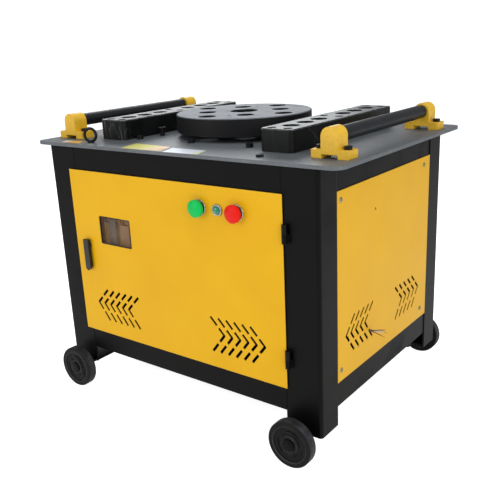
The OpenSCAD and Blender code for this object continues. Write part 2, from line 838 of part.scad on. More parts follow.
module motor_fan() color([0.15, 0.15, 0.16]) at_motor() difference() {
    union() {
        translate([0, 0, fan_z]) cylinder(r = 84, h = 3);
        translate([0, 0, fan_z]) cylinder(r = 22, h = 28);
        for (a = [0:45:315]) rotate(a) translate([20, -1.5, fan_z]) cube([62, 3, 26]);
    }
    translate([0, 0, fan_z - 5]) cylinder(r = motor_shaft_r + run, h = 60);
}

// --- electrical board behind the window ---

module electrical_board() color([0.6, 0.5, 0.42])
    span([-280, -241, 372], [-96, -238, table_under]);

module contactors() color([0.42, 0.42, 0.42]) {
    span([-262, -247, 434], [-112, -241, 441]);
    for (x = [-256, -200]) {
        span([x, -276, 400], [x + 44, -247, 476]);
        span([x + 6, -284, 414], [x + 38, -276, 462]);
    }
    span([-146, -268, 404], [-118, -247, 472]);
}

// --- door ---

module door_outline() difference() {
    translate([door_x0, door_z0]) square([door_x1 - door_x0, door_z1 - door_z0]);
    louvre_pair(6, door_left_louvres, door_right_louvres);
    translate([window_x0, window_z0]) square([window_w, window_h]);
    for (x = switch_xs) translate([x, switch_z]) circle(r = 11.2);
    translate([lamp_x, switch_z]) circle(r = 8.2);
    translate([latch_x, latch_z]) circle(r = 8);
}

module door_panel() color(yellow) standing_sheet(door_y, sheet_t) door_outline();

// Stiffening bars welded behind the sheet, inside the frame's opening
module door_stiffener() color(yellow) {
    y0 = door_y + sheet_t;
    span([-280, y0, 566], [298, y0 + 14, 582]);
    span([-266, y0, 176], [298, y0 + 14, 192]);
    span([-296, y0, 462], [-280, y0 + 14, 582]);
    span([282, y0, 192], [298, y0 + 14, 566]);
}

module door_window() color([0.75, 0.72, 0.66, 0.4])
    span([window_x0 - 8, door_y + sheet_t, window_z0 - 8],
        [window_x0 + window_w + 8, door_y + sheet_t + 3, window_z0 + window_h + 8]);

module hinge_posts() color(black) for (z = hinge_zs) translate([hinge_x, hinge_y, z]) {
    translate([0, 0, -hinge_half]) cylinder(r = hinge_r, h = hinge_half);
    translate([0, 0, -1]) cylinder(r = 2.5, h = hinge_half - 1);
    translate([0, 5, -hinge_half]) cube([9, 3, hinge_half]);
}

module hinge_leaves() color([0.2, 0.19, 0.17]) for (z = hinge_zs)
    translate([hinge_x, hinge_y, z + clear]) difference() {
        union() {
            cylinder(r = hinge_r, h = hinge_half);
            translate([-12, 1, 0]) cube([12, 3, hinge_half]);
        }
        translate([0, 0, -1]) cylinder(r = 2.5 + run, h = hinge_half - 1);
    }

// Bezel ring in front of the sheet, threaded neck through it and contact block behind
module switch_body() {
    difference() {
        union() {
            rod_y(0, -315, door_y, 0, 17);
            rod_y(0, door_y - 1, -296, 0, 11);
            rod_y(0, door_y + sheet_t, -302, 0, 15);
            span([-15, -296, -19], [15, -262, 19]);
        }
        rod_y(0, -320, -298, 0, 8.4);
    }
}

module switch_bodies() color([0.7, 0.7, 0.7]) for (x = switch_xs)
    translate([x, 0, switch_z]) switch_body();

// Push button: stem in the neck and mushroom head with a domed face
module push_button() {
    rod_y(0, -322, -303, 0, 8);
    translate([0, -319.5, 0]) rotate([90, 0, 0]) rotate_extrude($fn = 64)
        intersection() {
            square([20, 16]);
            union() {
                translate([0, 0]) square([20, 7]);
                intersection() {
                    translate([0, 7]) square([20, 10]);
                    translate([0, -22]) circle(r = 35.23);
                }
            }
        }
}

module green_button() color([0.1, 0.72, 0.4]) translate([switch_xs[0], 0, switch_z]) push_button();
module red_button() color([0.88, 0.17, 0.13]) translate([switch_xs[1], 0, switch_z]) push_button();

// Pilot lamp: flanged ring, lens and the lamp holder behind the sheet
module pilot_lamp() color([0.15, 0.6, 0.52]) translate([lamp_x, 0, switch_z]) {
    rod_y(0, -313, door_y, 0, 13);
    rod_y(0, door_y - 1, -300, 0, 8);
    translate([0, -312, 0]) rotate([90, 0, 0]) intersection() {
        cylinder(r = 9, h = 8);
        translate([0, 0, -6]) sphere(r = 13);
    }
    rod_y(0, -300, -270, 0, 12);
}

// Handle: flat bar with a pointed lower end, turning on the spindle near its top
module latch_handle() color([0.1, 0.11, 0.11]) {
    standing_sheet(-321, 9) translate([latch_x, latch_z])
        polygon([[-9, 15], [9, 15], [9, -60], [-2, -69], [-9, -63]]);
    rod_y(latch_x, -313, door_y - 0.3, latch_z, 9);
    rod_y(latch_x, door_y - 1, -302, latch_z, 7);
}

module latch_cam() color(steel) difference() {
    union() {
        rod_y(latch_x, -302, -292, latch_z, 10);
        span([latch_x - 8, -296, latch_z], [latch_x + 8, -293, latch_z + 42]);
    }
    rod_y(latch_x, -303, -290, latch_z, 3);
}

// --- supply lead ---

// Clip on the inner face of the right panel that holds the lead
module lead_clip() color([0.07, 0.07, 0.07]) difference() {
    union() {
        rod_x(half_l - 12, half_l - sheet_t, lead_y, lead_z, 6);
        span([half_l - 5, lead_y - 4, lead_z], [half_l - sheet_t, lead_y + 4, lead_z + 22]);
    }
    rod_x(half_l - 20, half_l + 1, lead_y, lead_z, lead_r);
}

// Tube swept along route points: each ring stands square to the mean of its two neighbours
function unit(v) = v / norm(v);
function heading(p, i) = unit(p[min(i + 1, len(p) - 1)] - p[max(i - 1, 0)]);
function tube_ring(p, i, r, n) =
    let (t = heading(p, i), u = unit(cross(t, [0, 0, 1])), v = cross(u, t))
    [for (k = [0:n - 1]) p[i] + r * (cos(360 * k / n) * u + sin(360 * k / n) * v)];
module tube(p, r, n) {
    last = len(p) - 1;
    points = [for (i = [0:last]) each tube_ring(p, i, r, n)];
    sides = [for (i = [0:last - 1], k = [0:n - 1])
        [i * n + k, (i + 1) * n + k, (i + 1) * n + (k + 1) % n, i * n + (k + 1) % n]];
    ends = [[for (k = [0:n - 1]) k], [for (k = [n - 1:-1:0]) last * n + k]];
    polyhedron(points, concat(sides, ends));
}

module supply_lead() color([0.35, 0.3, 0.25]) tube(LEAD, lead_r, 8);

front_legs();
rear_legs();
frame_rails();
table_plate();
right_panel();
left_panel();
rear_panel();
panel_screws();
hinge_posts();
wheel_axles();
wheel_washers();
motor_rails();
motor_bracket();
motor_housing();
motor_end_shields();
stator();
fan_cover();
drive_belts();
lower_plate();
spacer_tubes();
drive_bolts();
bearing_housings();
bearings();
electrical_board();
contactors();
block_left();
block_right();
block_bolts();
roller_housings();
housing_bolts();
lifting_eye();
table_studs();
lead_clip();
supply_lead();
door_panel();
door_stiffener();
door_window();
hinge_leaves();
switch_bodies();
pilot_lamp();
green_button();
red_button();
latch_handle();
latch_cam();
working_disc();
main_shaft();
main_gear();
counter_shaft();
counter_gear();
input_shaft();
driven_pulley();
motor_rotor();
motor_pulley();
motor_fan();
wheel_front_left();
wheel_front_right();
wheel_rear_left();
wheel_rear_right();
roller_left();
roller_right();
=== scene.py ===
# %% [markdown]
# # A rebar bending machine
# The machine's true shape and its joints come as a fixed frame: every part already has its place.
# This lesson gives those parts their finishes, and adds the small pieces that are easiest to make
# as surfaces in Blender. All lengths are in metres, with +Z up and the door facing -Y.

# %% Load the frame
import json
import math

import bmesh
import bpy
import numpy as np
from mathutils import Matrix, Vector


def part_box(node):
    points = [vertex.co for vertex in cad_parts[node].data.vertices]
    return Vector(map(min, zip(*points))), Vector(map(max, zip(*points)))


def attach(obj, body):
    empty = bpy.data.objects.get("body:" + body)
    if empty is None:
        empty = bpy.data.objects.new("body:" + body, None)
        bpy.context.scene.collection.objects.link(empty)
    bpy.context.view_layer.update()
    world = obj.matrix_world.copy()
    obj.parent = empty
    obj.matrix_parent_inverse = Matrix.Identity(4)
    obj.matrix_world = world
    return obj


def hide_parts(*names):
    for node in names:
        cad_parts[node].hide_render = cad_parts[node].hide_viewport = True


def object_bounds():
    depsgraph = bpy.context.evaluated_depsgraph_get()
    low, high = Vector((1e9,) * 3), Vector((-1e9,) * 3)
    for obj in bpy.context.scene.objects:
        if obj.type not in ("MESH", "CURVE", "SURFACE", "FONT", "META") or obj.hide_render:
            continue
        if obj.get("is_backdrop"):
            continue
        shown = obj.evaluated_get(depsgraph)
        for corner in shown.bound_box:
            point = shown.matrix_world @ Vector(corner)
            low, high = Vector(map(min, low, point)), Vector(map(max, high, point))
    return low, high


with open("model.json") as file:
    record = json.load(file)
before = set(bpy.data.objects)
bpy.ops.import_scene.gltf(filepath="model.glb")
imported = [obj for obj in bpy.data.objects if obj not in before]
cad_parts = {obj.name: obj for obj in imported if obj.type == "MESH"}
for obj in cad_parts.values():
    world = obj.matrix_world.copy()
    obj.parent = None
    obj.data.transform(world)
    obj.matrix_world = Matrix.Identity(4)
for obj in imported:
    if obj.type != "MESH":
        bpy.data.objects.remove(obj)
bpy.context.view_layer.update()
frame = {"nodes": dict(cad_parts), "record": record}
nodes = frame["nodes"]
MM = 0.001

# %% [markdown]
# ## The camera
# A lens that is slightly long keeps the cabinet's edges nearly parallel. The camera stands front
# right, above the table, so that the disc, the door and the right side all show. Its three axes are
# worked out from a heading, a pitch and a small roll.

# %% Camera
HEADING, PITCH, ROLL = math.radians(37.36), math.radians(17.39), math.radians(-2.57)
CAMERA_PLACE = Vector((1.0943, -1.4348, 0.9125))
LENS, SENSOR = 50.14, 36
ahead = math.cos(PITCH)
forward = Vector((-math.sin(HEADING) * ahead, math.cos(HEADING) * ahead, -math.sin(PITCH)))
level = Vector((math.cos(HEADING), math.sin(HEADING), 0))
upright = level.cross(forward)
side = level * math.cos(ROLL) + upright * math.sin(ROLL)
up = upright * math.cos(ROLL) - level * math.sin(ROLL)

camera_data = bpy.data.cameras.new("camera")
camera_data.lens = LENS
camera_data.sensor_width = SENSOR
camera = bpy.data.objects.new("camera", camera_data)
camera.matrix_world = Matrix((
    (side.x, up.x, -forward.x, CAMERA_PLACE.x),
    (side.y, up.y, -forward.y, CAMERA_PLACE.y),
    (side.z, up.z, -forward.z, CAMERA_PLACE.z),
    (0, 0, 0, 1)))
bpy.context.scene.collection.objects.link(camera)
bpy.context.scene.camera = camera
print("camera lens", camera_data.lens, "mm")

# %% [markdown]
# ## Meshes from numbers
# A surface is a grid of points: one parameter runs along it and the other around it. The helper
# takes the whole array at once, so numpy does the work and no loop runs over the vertices.

# %% Grid surfaces
def new_object(name, mesh, material, body, smooth=True):
    """Puts a finished mesh into the scene at the origin, on a body of the frame."""
    if material is not None:
        mesh.materials.append(material)
    mesh.polygons.foreach_set("use_smooth", np.full(len(mesh.polygons), smooth))
    piece = bpy.data.objects.new(name, mesh)
    bpy.context.scene.collection.objects.link(piece)
    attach(piece, body)
    return piece


def grid_mesh(name, points, around=True, along=False, caps=False):
    """A quad mesh from points[i, j]: row i along the shape, column j around it.
    around and along join the last column or row to the first. caps closes both ends of a tube."""
    rows, columns = points.shape[:2]
    index = np.arange(rows * columns).reshape(rows, columns)
    if around:
        index = np.concatenate([index, index[:, :1]], 1)
    if along:
        index = np.concatenate([index, index[:1]], 0)
    faces = np.stack([index[:-1, :-1], index[:-1, 1:], index[1:, 1:], index[1:, :-1]], -1).reshape(-1, 4)
    faces = faces.tolist()
    if caps:
        faces.append(np.arange(columns)[::-1].tolist())
        faces.append((np.arange(columns) + (rows - 1) * columns).tolist())
    mesh = bpy.data.meshes.new(name)
    mesh.from_pydata(points.reshape(-1, 3).tolist(), [], faces)
    mesh.update()
    return mesh


def outward(mesh, *others):
    """Joins the other meshes to this one, merges doubled points and turns every face outwards."""
    work = bmesh.new()
    for part in (mesh, *others):
        work.from_mesh(part)
    bmesh.ops.remove_doubles(work, verts=work.verts, dist=1e-6)
    bmesh.ops.recalc_face_normals(work, faces=work.faces)
    work.to_mesh(mesh)
    work.free()
    return mesh


def round_profile(points, radius, steps=4):
    """A profile with its inner corners rounded: each corner becomes a short curve that blends
    the two sides, (1-t)^2 a + 2t(1-t) corner + t^2 b, with a and b a radius away from it."""
    p = np.array(points, float)
    before, corner, after = p[:-2], p[1:-1], p[2:]
    la = np.linalg.norm(before - corner, axis=1, keepdims=True)
    lb = np.linalg.norm(after - corner, axis=1, keepdims=True)
    a = corner + (before - corner) / la * np.minimum(radius, la * 0.45)
    b = corner + (after - corner) / lb * np.minimum(radius, lb * 0.45)
    t = np.linspace(0, 1, steps)[None, :, None]
    bend = (1 - t) ** 2 * a[:, None] + 2 * t * (1 - t) * corner[:, None] + t ** 2 * b[:, None]
    return np.concatenate([p[:1], bend.reshape(-1, 2), p[-1:]])


def turned(name, profile, centre, axis, sides, radius):
    """A turned piece: every profile point (distance from the axis, height along it) goes once
    round the axis, centre + height * axis + distance * (cos a * u + sin a * v)."""
    line = round_profile(profile, radius)
    w = np.array(axis, float)
    u = np.cross(w, [0.0, 0.0, 1.0] if abs(w[2]) < 0.9 else [1.0, 0.0, 0.0])
    u /= np.linalg.norm(u)
    v = np.cross(w, u)
    a = np.linspace(0, 2 * np.pi, sides, endpoint=False)
    spoke = np.cos(a)[:, None] * u + np.sin(a)[:, None] * v
    points = np.array(centre) + line[:, 1, None, None] * w + line[:, 0, None, None] * spoke
    return outward(grid_mesh(name, points))


def swept(name, path, radius, sides):
    """A round tube: a circle is carried along the path, square to the path's local direction."""
    path = np.array(path, float)
    along = np.gradient(path, axis=0)
    along /= np.linalg.norm(along, axis=1, keepdims=True)
    u = np.cross(along, [0.12, 0.07, 1.0])
    u /= np.linalg.norm(u, axis=1, keepdims=True)
    v = np.cross(along, u)
    a = np.linspace(0, 2 * np.pi, sides, endpoint=False)
    r = np.broadcast_to(np.asarray(radius, float), len(path))[:, None, None]
    ring = np.cos(a)[None, :, None] * u[:, None] + np.sin(a)[None, :, None] * v[:, None]
    return outward(grid_mesh(name, path[:, None] + r * ring, caps=True))


def smooth_path(points, steps=6):
    """A smooth curve through the points: on each span a cubic that leaves and arrives along the
    line between the neighbours of its ends."""
    p = np.array(points, float)
    q = np.concatenate([2 * p[:1] - p[1:2], p, 2 * p[-1:] - p[-2:-1]])
    t = np.linspace(0, 1, steps, endpoint=False)[None, :, None]
    a, b, c, d = q[:-3, None], q[1:-2, None], q[2:-1, None], q[3:, None]
    curve = 0.5 * (2 * b + (c - a) * t + (2 * a - 5 * b + 4 * c - d) * t ** 2
                   + (3 * b - a - 3 * c + d) * t ** 3)
    return np.concatenate([curve.reshape(-1, 3), p[-1:]])


def loop_tube(name, path, radius, sides=10):
    """A closed ring of tube: the circle goes once along a closed path and meets its own start."""
    path = np.array(path, float)
    along = np.roll(path, -1, 0) - np.roll(path, 1, 0)
    along /= np.linalg.norm(along, axis=1, keepdims=True)
    u = np.cross(along, [0.12, 1.0, 0.07])
    u /= np.linalg.norm(u, axis=1, keepdims=True)
    v = np.cross(along, u)
    a = np.linspace(0, 2 * np.pi, sides, endpoint=False)
    ring = np.cos(a)[None, :, None] * u[:, None] + np.sin(a)[None, :, None] * v[:, None]
    return outward(grid_mesh(name, path[:, None] + radius * ring, along=True))


print("helpers: grid, turned piece, swept tube, closed ring, smooth path")

# %% [markdown]
# ## The supply lead
# A short stripped lead comes straight out of one louvre slot in the right side. The sheath is a
# tube along the same points as the frame's plain lead, and four cores fan out of its cut end. Each
# core is a thinner tube with a bright copper tip, because the insulation stops before the wire.

# %% Supply lead and its cores
EXIT = np.array([386.0, -88.87, 238.21])
SHEATH_RADIUS, CORE_RADIUS, WIRE_RADIUS = 2.5 * MM, 0.95 * MM, 0.6 * MM
route = [(0, 0, 0), (10, 0, 0), (19, 0, 0), (24, 0.1, 0), (28, 0.6, -0.2), (31.5, 1.3, -0.5)]
sheath_path = smooth_path((EXIT + np.array(route)) * MM)
sheath = swept("lead_sheath", sheath_path, SHEATH_RADIUS, 20)
lead = new_object("lead_sheath", sheath, None, "frame")
CORE_ROUTES = [
    [(28, 1.6, 0.6), (36, 2.6, 2.4), (46, 5.4, 4.4), (56, 9, 5.5)],
    [(28, 1.6, -0.9), (37, 4.2, -0.9), (47, 10.5, -2.6), (57, 17, -5)],
    [(28, -0.3, -1.4), (36, 2, -4.2), (45, 5.6, -9), (55, 9.6, -14)],
    [(28, -0.4, 0.6), (35, 3.4, 0.8), (43, 8.6, 1.2), (53, 13, 0)],
]
cores, tips = [], []
for number, core_route in enumerate(CORE_ROUTES):
    core_path = smooth_path((EXIT + np.array(core_route)) * MM, 8)
    name = "lead_core_%d" % (number + 1)
    cores.append(new_object(name, swept(name, core_path[:-5], CORE_RADIUS, 12), None, "frame"))
    name = "lead_tip_%d" % (number + 1)
    tips.append(new_object(name, swept(name, core_path[-6:], WIRE_RADIUS, 10), None, "frame"))
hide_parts("supply_lead")

# %% [markdown]
# ## Floor and light
# A plain pale floor and a wide, even light, as in a studio with white walls. The world is a calm
# grey for the reflections and white where it is seen directly.

# %% Floor and light
def set_colour(socket, colour):
    """Sets an RGB socket from three screen values 0..255, turned into linear light."""
    c = np.array(colour, float) / 255
    linear = np.where(c <= 0.04045, c / 12.92, ((c + 0.055) / 1.055) ** 2.4)
    socket.default_value = (*linear.tolist(), 1.0)


world = bpy.data.worlds.new("studio")
bpy.context.scene.world = world
world.use_nodes = True
tree = world.node_tree
tree.nodes.clear()
room = tree.nodes.new("ShaderNodeBackground")
room.inputs["Color"].default_value = (0.95, 0.97, 1.0, 1)
room.inputs["Strength"].default_value = 0.36
seen = tree.nodes.new("ShaderNodeBackground")
seen.inputs["Color"].default_value = (1, 1, 1, 1)
seen.inputs["Strength"].default_value = 1.05
path = tree.nodes.new("ShaderNodeLightPath")
choice = tree.nodes.new("ShaderNodeMixShader")
exit_node = tree.nodes.new("ShaderNodeOutputWorld")
tree.links.new(path.outputs["Is Camera Ray"], choice.inputs[0])
tree.links.new(room.outputs[0], choice.inputs[1])
tree.links.new(seen.outputs[0], choice.inputs[2])
tree.links.new(choice.outputs[0], exit_node.inputs[0])


def lamp(name, place, target, size, power):
    """A square area light that faces its target."""
    data = bpy.data.lights.new(name, "AREA")
    data.size = size
    data.energy = power
    light = bpy.data.objects.new(name, data)
    light.location = place
    light.rotation_euler = (Vector(target) - Vector(place)).to_track_quat("-Z", "Y").to_euler()
    bpy.context.scene.collection.objects.link(light)


lamp("sky_light", (0.3, -0.2, 3.4), (0, 0, 0.6), 2.6, 40)
lamp("right_light", (3.2, -1.6, 1.7), (0, 0, 0.4), 2.0, 50)
lamp("front_light", (-1.4, -3.4, 1.6), (0, 0, 0.35), 2.2, 40)
lamp("back_light", (-2.2, 2.6, 2.2), (0, 0, 0.5), 2.0, 42)

FLOOR_RADIUS, FLOOR_SIDES = 12.0, 96
a = np.linspace(0, 2 * np.pi, FLOOR_SIDES, endpoint=False)
rim = np.stack([np.cos(a), np.sin(a), np.zeros(FLOOR_SIDES)], -1)
floor_mesh = grid_mesh("floor", np.array([0.01, FLOOR_RADIUS])[:, None, None] * rim)
floor_paint = bpy.data.materials.new("floor_paint")
floor_paint.use_nodes = True
floor_bsdf = floor_paint.node_tree.nodes["Principled BSDF"]
floor_bsdf.inputs["Base Color"].default_value = (0.93, 0.93, 0.93, 1)
floor_bsdf.inputs["Roughness"].default_value = 0.9
floor_bsdf.inputs["Specular IOR Level"].default_value = 0.1
floor_bsdf.inputs["Emission Color"].default_value = (1, 1, 1, 1)
floor_path = floor_paint.node_tree.nodes.new("ShaderNodeLightPath")
floor_glow = floor_paint.node_tree.nodes.new("ShaderNodeMapRange")
floor_glow.inputs["To Min"].default_value = 0.28
floor_glow.inputs["To Max"].default_value = 0.85
floor_paint.node_tree.links.new(floor_path.outputs["Is Camera Ray"], floor_glow.inputs["Value"])
floor_paint.node_tree.links.new(floor_glow.outputs[0], floor_bsdf.inputs["Emission Strength"])
floor_mesh.materials.append(floor_paint)
floor = bpy.data.objects.new("floor", floor_mesh)
bpy.context.scene.collection.objects.link(floor)
floor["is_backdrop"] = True
bpy.context.scene.view_settings.view_transform = "Standard"
print("four lights and a floor")

# %% [markdown]
# ## Effects that many finishes share
# Paint wears off edges, steel gathers stains, powder coat has an orange-peel skin. Each effect is a
# node group that is built once and placed in every material that needs it, with its own values.

# %% Node groups
def new_group(name, inputs, outputs):
    """An empty shader group with float inputs {name: default} and outputs {name: socket type}."""
    group = bpy.data.node_groups.new(name, "ShaderNodeTree")
    for key, value in inputs.items():
        socket = group.interface.new_socket(key, in_out="INPUT", socket_type="NodeSocketFloat")
        socket.default_value = value
    for key, kind in outputs.items():
        group.interface.new_socket(key, in_out="OUTPUT", socket_type=kind)
    return group, group.nodes.new("NodeGroupInput"), group.nodes.new("NodeGroupOutput")


def maths(tree, operation, a, b=None, clamp=False):
    """One Math node. a and b are sockets or numbers. Returns its output."""
    node = tree.nodes.new("ShaderNodeMath")
    node.operation = operation
    node.use_clamp = clamp
    for socket, value in zip(node.inputs, (a, b)):
        if isinstance(value, (int, float)):
            socket.default_value = value
        elif value is not None:
            tree.links.new(value, socket)
    return node.outputs[0]


def noise(tree, scale, detail=4.0, rough=0.55, vector=None, stretch=None):
    """Noise in Object coordinates, in cells per metre. stretch squeezes it along an axis."""
    if vector is None:
        vector = tree.nodes.new("ShaderNodeTexCoord").outputs["Object"]
    if stretch is not None:
        mapping = tree.nodes.new("ShaderNodeMapping")
        mapping.inputs["Scale"].default_value = stretch
        tree.links.new(vector, mapping.inputs["Vector"])
        vector = mapping.outputs[0]
    node = tree.nodes.new("ShaderNodeTexNoise")
    node.inputs["Detail"].default_value = detail
    node.inputs["Roughness"].default_value = rough
    if isinstance(scale, (int, float)):
        node.inputs["Scale"].default_value = scale
    else:
        tree.links.new(scale, node.inputs["Scale"])
    tree.links.new(vector, node.inputs["Vector"])
    return node.outputs["Fac"]


def spread(tree, value, low, high):
    """Stretches low..high to 0..1 and stops there."""
    node = tree.nodes.new("ShaderNodeMapRange")
    tree.links.new(value, node.inputs["Value"])
    for key, number in (("From Min", low), ("From Max", high)):
        if isinstance(number, (int, float)):
            node.inputs[key].default_value = number
        else:
            tree.links.new(number, node.inputs[key])
    return node.outputs[0]


FLOAT, VECTOR = "NodeSocketFloat", "NodeSocketVector"

# Edge wear: where a slightly rounded normal differs from the face's own, the face is near an edge.
edge_wear, gi, go = new_group("edge wear", {"Radius": 0.002, "Amount": 0.5, "Scale": 60.0},
                              {"Mask": FLOAT, "Normal": VECTOR})
bevel = edge_wear.nodes.new("ShaderNodeBevel")
bevel.samples = 6
edge_wear.links.new(gi.outputs["Radius"], bevel.inputs["Radius"])
geometry = edge_wear.nodes.new("ShaderNodeNewGeometry")
dot = edge_wear.nodes.new("ShaderNodeVectorMath")
dot.operation = "DOT_PRODUCT"
edge_wear.links.new(bevel.outputs[0], dot.inputs[0])
edge_wear.links.new(geometry.outputs["Normal"], dot.inputs[1])
edge = maths(edge_wear, "MULTIPLY", maths(edge_wear, "SUBTRACT", 1.0, dot.outputs["Value"]), 5.0, True)
least = maths(edge_wear, "SUBTRACT", 0.72, maths(edge_wear, "MULTIPLY", gi.outputs["Amount"], 0.5))
patches = spread(edge_wear, noise(edge_wear, gi.outputs["Scale"], 5, 0.65), least, 0.78)
edge_wear.links.new(maths(edge_wear, "MULTIPLY", edge, patches, True), go.inputs["Mask"])
edge_wear.links.new(bevel.outputs[0], go.inputs["Normal"])

# Paint skin: a fine orange peel on long soft waves.
paint_skin, gi, go = new_group("paint skin", {"Scale": 700.0, "Waves": 14.0},
                               {"Height": FLOAT, "Variation": FLOAT})
peel = noise(paint_skin, gi.outputs["Scale"], 2, 0.5)
wave = noise(paint_skin, gi.outputs["Waves"], 2, 0.5)
height = maths(paint_skin, "ADD", maths(paint_skin, "MULTIPLY", peel, 0.25), wave)
paint_skin.links.new(height, go.inputs["Height"])
paint_skin.links.new(spread(paint_skin, wave, 0.3, 0.7), go.inputs["Variation"])

# Stains: large soft clouds broken up by small ones.
stains, gi, go = new_group("stains", {"Size": 9.0, "Cover": 0.5}, {"Mask": FLOAT, "Fine": FLOAT})
cloud = noise(stains, gi.outputs["Size"], 6, 0.62)
fine = noise(stains, 180.0, 5, 0.7)
low = maths(stains, "SUBTRACT", 0.75, maths(stains, "MULTIPLY", gi.outputs["Cover"], 0.5))
ragged = maths(stains, "ADD", maths(stains, "MULTIPLY", cloud, 0.8), maths(stains, "MULTIPLY", fine, 0.2))
stains.links.new(spread(stains, ragged, low, 0.72), go.inputs["Mask"])
stains.links.new(fine, go.inputs["Fine"])

# Scratches: thin lines where stretched noise crosses its middle value.
scratches, gi, go = new_group("scratches", {"Width": 0.012, "Amount": 0.5}, {"Mask": FLOAT})
lines = []
for stretch in ((4, 70, 9), (60, 5, 8), (30, 34, 4)):
    field = noise(scratches, 1.0, 1, 0.4, stretch=stretch)
    band = maths(scratches, "ABSOLUTE", maths(scratches, "SUBTRACT", field, 0.5))
    lines.append(maths(scratches, "SUBTRACT", 1.0, spread(scratches, band, 0.0, gi.outputs["Width"])))
line = maths(scratches, "MAXIMUM", maths(scratches, "MAXIMUM", lines[0], lines[1]), lines[2])
least = maths(scratches, "SUBTRACT", 0.7, maths(scratches, "MULTIPLY", gi.outputs["Amount"], 0.4))
broken = spread(scratches, noise(scratches, 11.0, 3, 0.6), least, 0.75)
scratches.links.new(maths(scratches, "MULTIPLY", line, broken, True), go.inputs["Mask"])

# Tool marks: rings around the upright axis, as a lathe leaves on a disc's face.
tool_marks, gi, go = new_group("tool marks", {"Rings": 900.0}, {"Height": FLOAT, "Tone": FLOAT})
position = tool_marks.nodes.new("ShaderNodeTexCoord").outputs["Object"]
split = tool_marks.nodes.new("ShaderNodeSeparateXYZ")
tool_marks.links.new(position, split.inputs[0])
squares = [maths(tool_marks, "POWER", split.outputs[axis], 2.0) for axis in (0, 1)]
distance = maths(tool_marks, "SQRT", maths(tool_marks, "ADD", *squares))
spoke = tool_marks.nodes.new("ShaderNodeCombineXYZ")
tool_marks.links.new(maths(tool_marks, "MULTIPLY", distance, gi.outputs["Rings"]), spoke.inputs[0])
ring_noise = noise(tool_marks, 1.0, 3, 0.6, spoke.outputs[0])
tool_marks.links.new(ring_noise, go.inputs["Height"])
tool_marks.links.new(spread(tool_marks, ring_noise, 0.3, 0.7), go.inputs["Tone"])
print("groups:", [g.name for g in bpy.data.node_groups])

# %% [markdown]
# ## Finishes
# A finish starts as a plain Principled shader. Masks from the groups then mix its colours and
# steer its roughness, and heights go through one Bump node. The rounded normal of the edge wear
# group softens every sharp corner of the steel parts, as a file or a coat of paint does.

# %% Material helper
def finish(name, colour, rough, metal=0.0, specular=0.5, coat=0.0):
    """A Principled material. Returns (material, node tree, shader)."""
    made = bpy.data.materials.new(name)
    made.use_nodes = True
    shader = made.node_tree.nodes["Principled BSDF"]
    set_colour(shader.inputs["Base Color"], colour)
    shader.inputs["Roughness"].default_value = rough
    shader.inputs["Metallic"].default_value = metal
    shader.inputs["Specular IOR Level"].default_value = specular
    shader.inputs["Coat Weight"].default_value = coat
    shader.inputs["Coat Roughness"].default_value = 0.1
    return made, made.node_tree, shader


def effect(tree, group, **values):
    """Places a group with its own values. Underscores in a name stand for spaces."""
    node = tree.nodes.new("ShaderNodeGroup")
    node.node_tree = group
    for key, value in values.items():
        node.inputs[key.replace("_", " ")].default_value = value
    return node


def blend_colours(tree, mask, a, b):
    """Mixes colour a to b by the mask. A colour is a socket or three screen values."""
    node = tree.nodes.new("ShaderNodeMix")
    node.data_type = "RGBA"
    tree.links.new(mask, node.inputs[0])
    for socket, colour in ((node.inputs[6], a), (node.inputs[7], b)):
        if isinstance(colour, (tuple, list)):
            set_colour(socket, colour)
        else:
            tree.links.new(colour, socket)
    return node.outputs[2]


def blend_values(tree, mask, a, b):
    """Goes from a to b as the mask goes from 0 to 1."""
    node = tree.nodes.new("ShaderNodeMix")
    tree.links.new(mask, node.inputs[0])
    for socket, value in ((node.inputs[2], a), (node.inputs[3], b)):
        if isinstance(value, (int, float)):
            socket.default_value = value
        else:
            tree.links.new(value, socket)
    return node.outputs[0]


def bump(tree, shader, height, depth, normal=None, strength=0.5):
    """Height to the shader's Normal, depth metres high."""
    node = tree.nodes.new("ShaderNodeBump")
    node.inputs["Strength"].default_value = strength
    node.inputs["Distance"].default_value = depth
    tree.links.new(height, node.inputs["Height"])
    if normal is not None:
        tree.links.new(normal, node.inputs["Normal"])
    tree.links.new(node.outputs[0], shader.inputs["Normal"])


def split_vector(tree, node_type, output):
    """The three components of an input node's vector, such as True Normal."""
    split = tree.nodes.new("ShaderNodeSeparateXYZ")
    tree.links.new(tree.nodes.new(node_type).outputs[output], split.inputs[0])
    return split.outputs


def face_direction(tree):
    """Where a face looks: X, Y and Z of its own flat normal."""
    return split_vector(tree, "ShaderNodeNewGeometry", "True Normal")


def object_place(tree):
    """Where a point is: X, Y and Z in metres."""
    return split_vector(tree, "ShaderNodeTexCoord", "Object")


# %% [markdown]
# ### Powder coat
# The sheets and the frame carry the same kind of paint in two colours: a little orange peel, slow
# waves where the sheet isn't quite flat, dust that dulls it in clouds, and worn edges, which on the
# yellow sheet are paler and also stand for a painted highlight.

# %% Painted finishes
PEEL_DEPTH = 0.00012


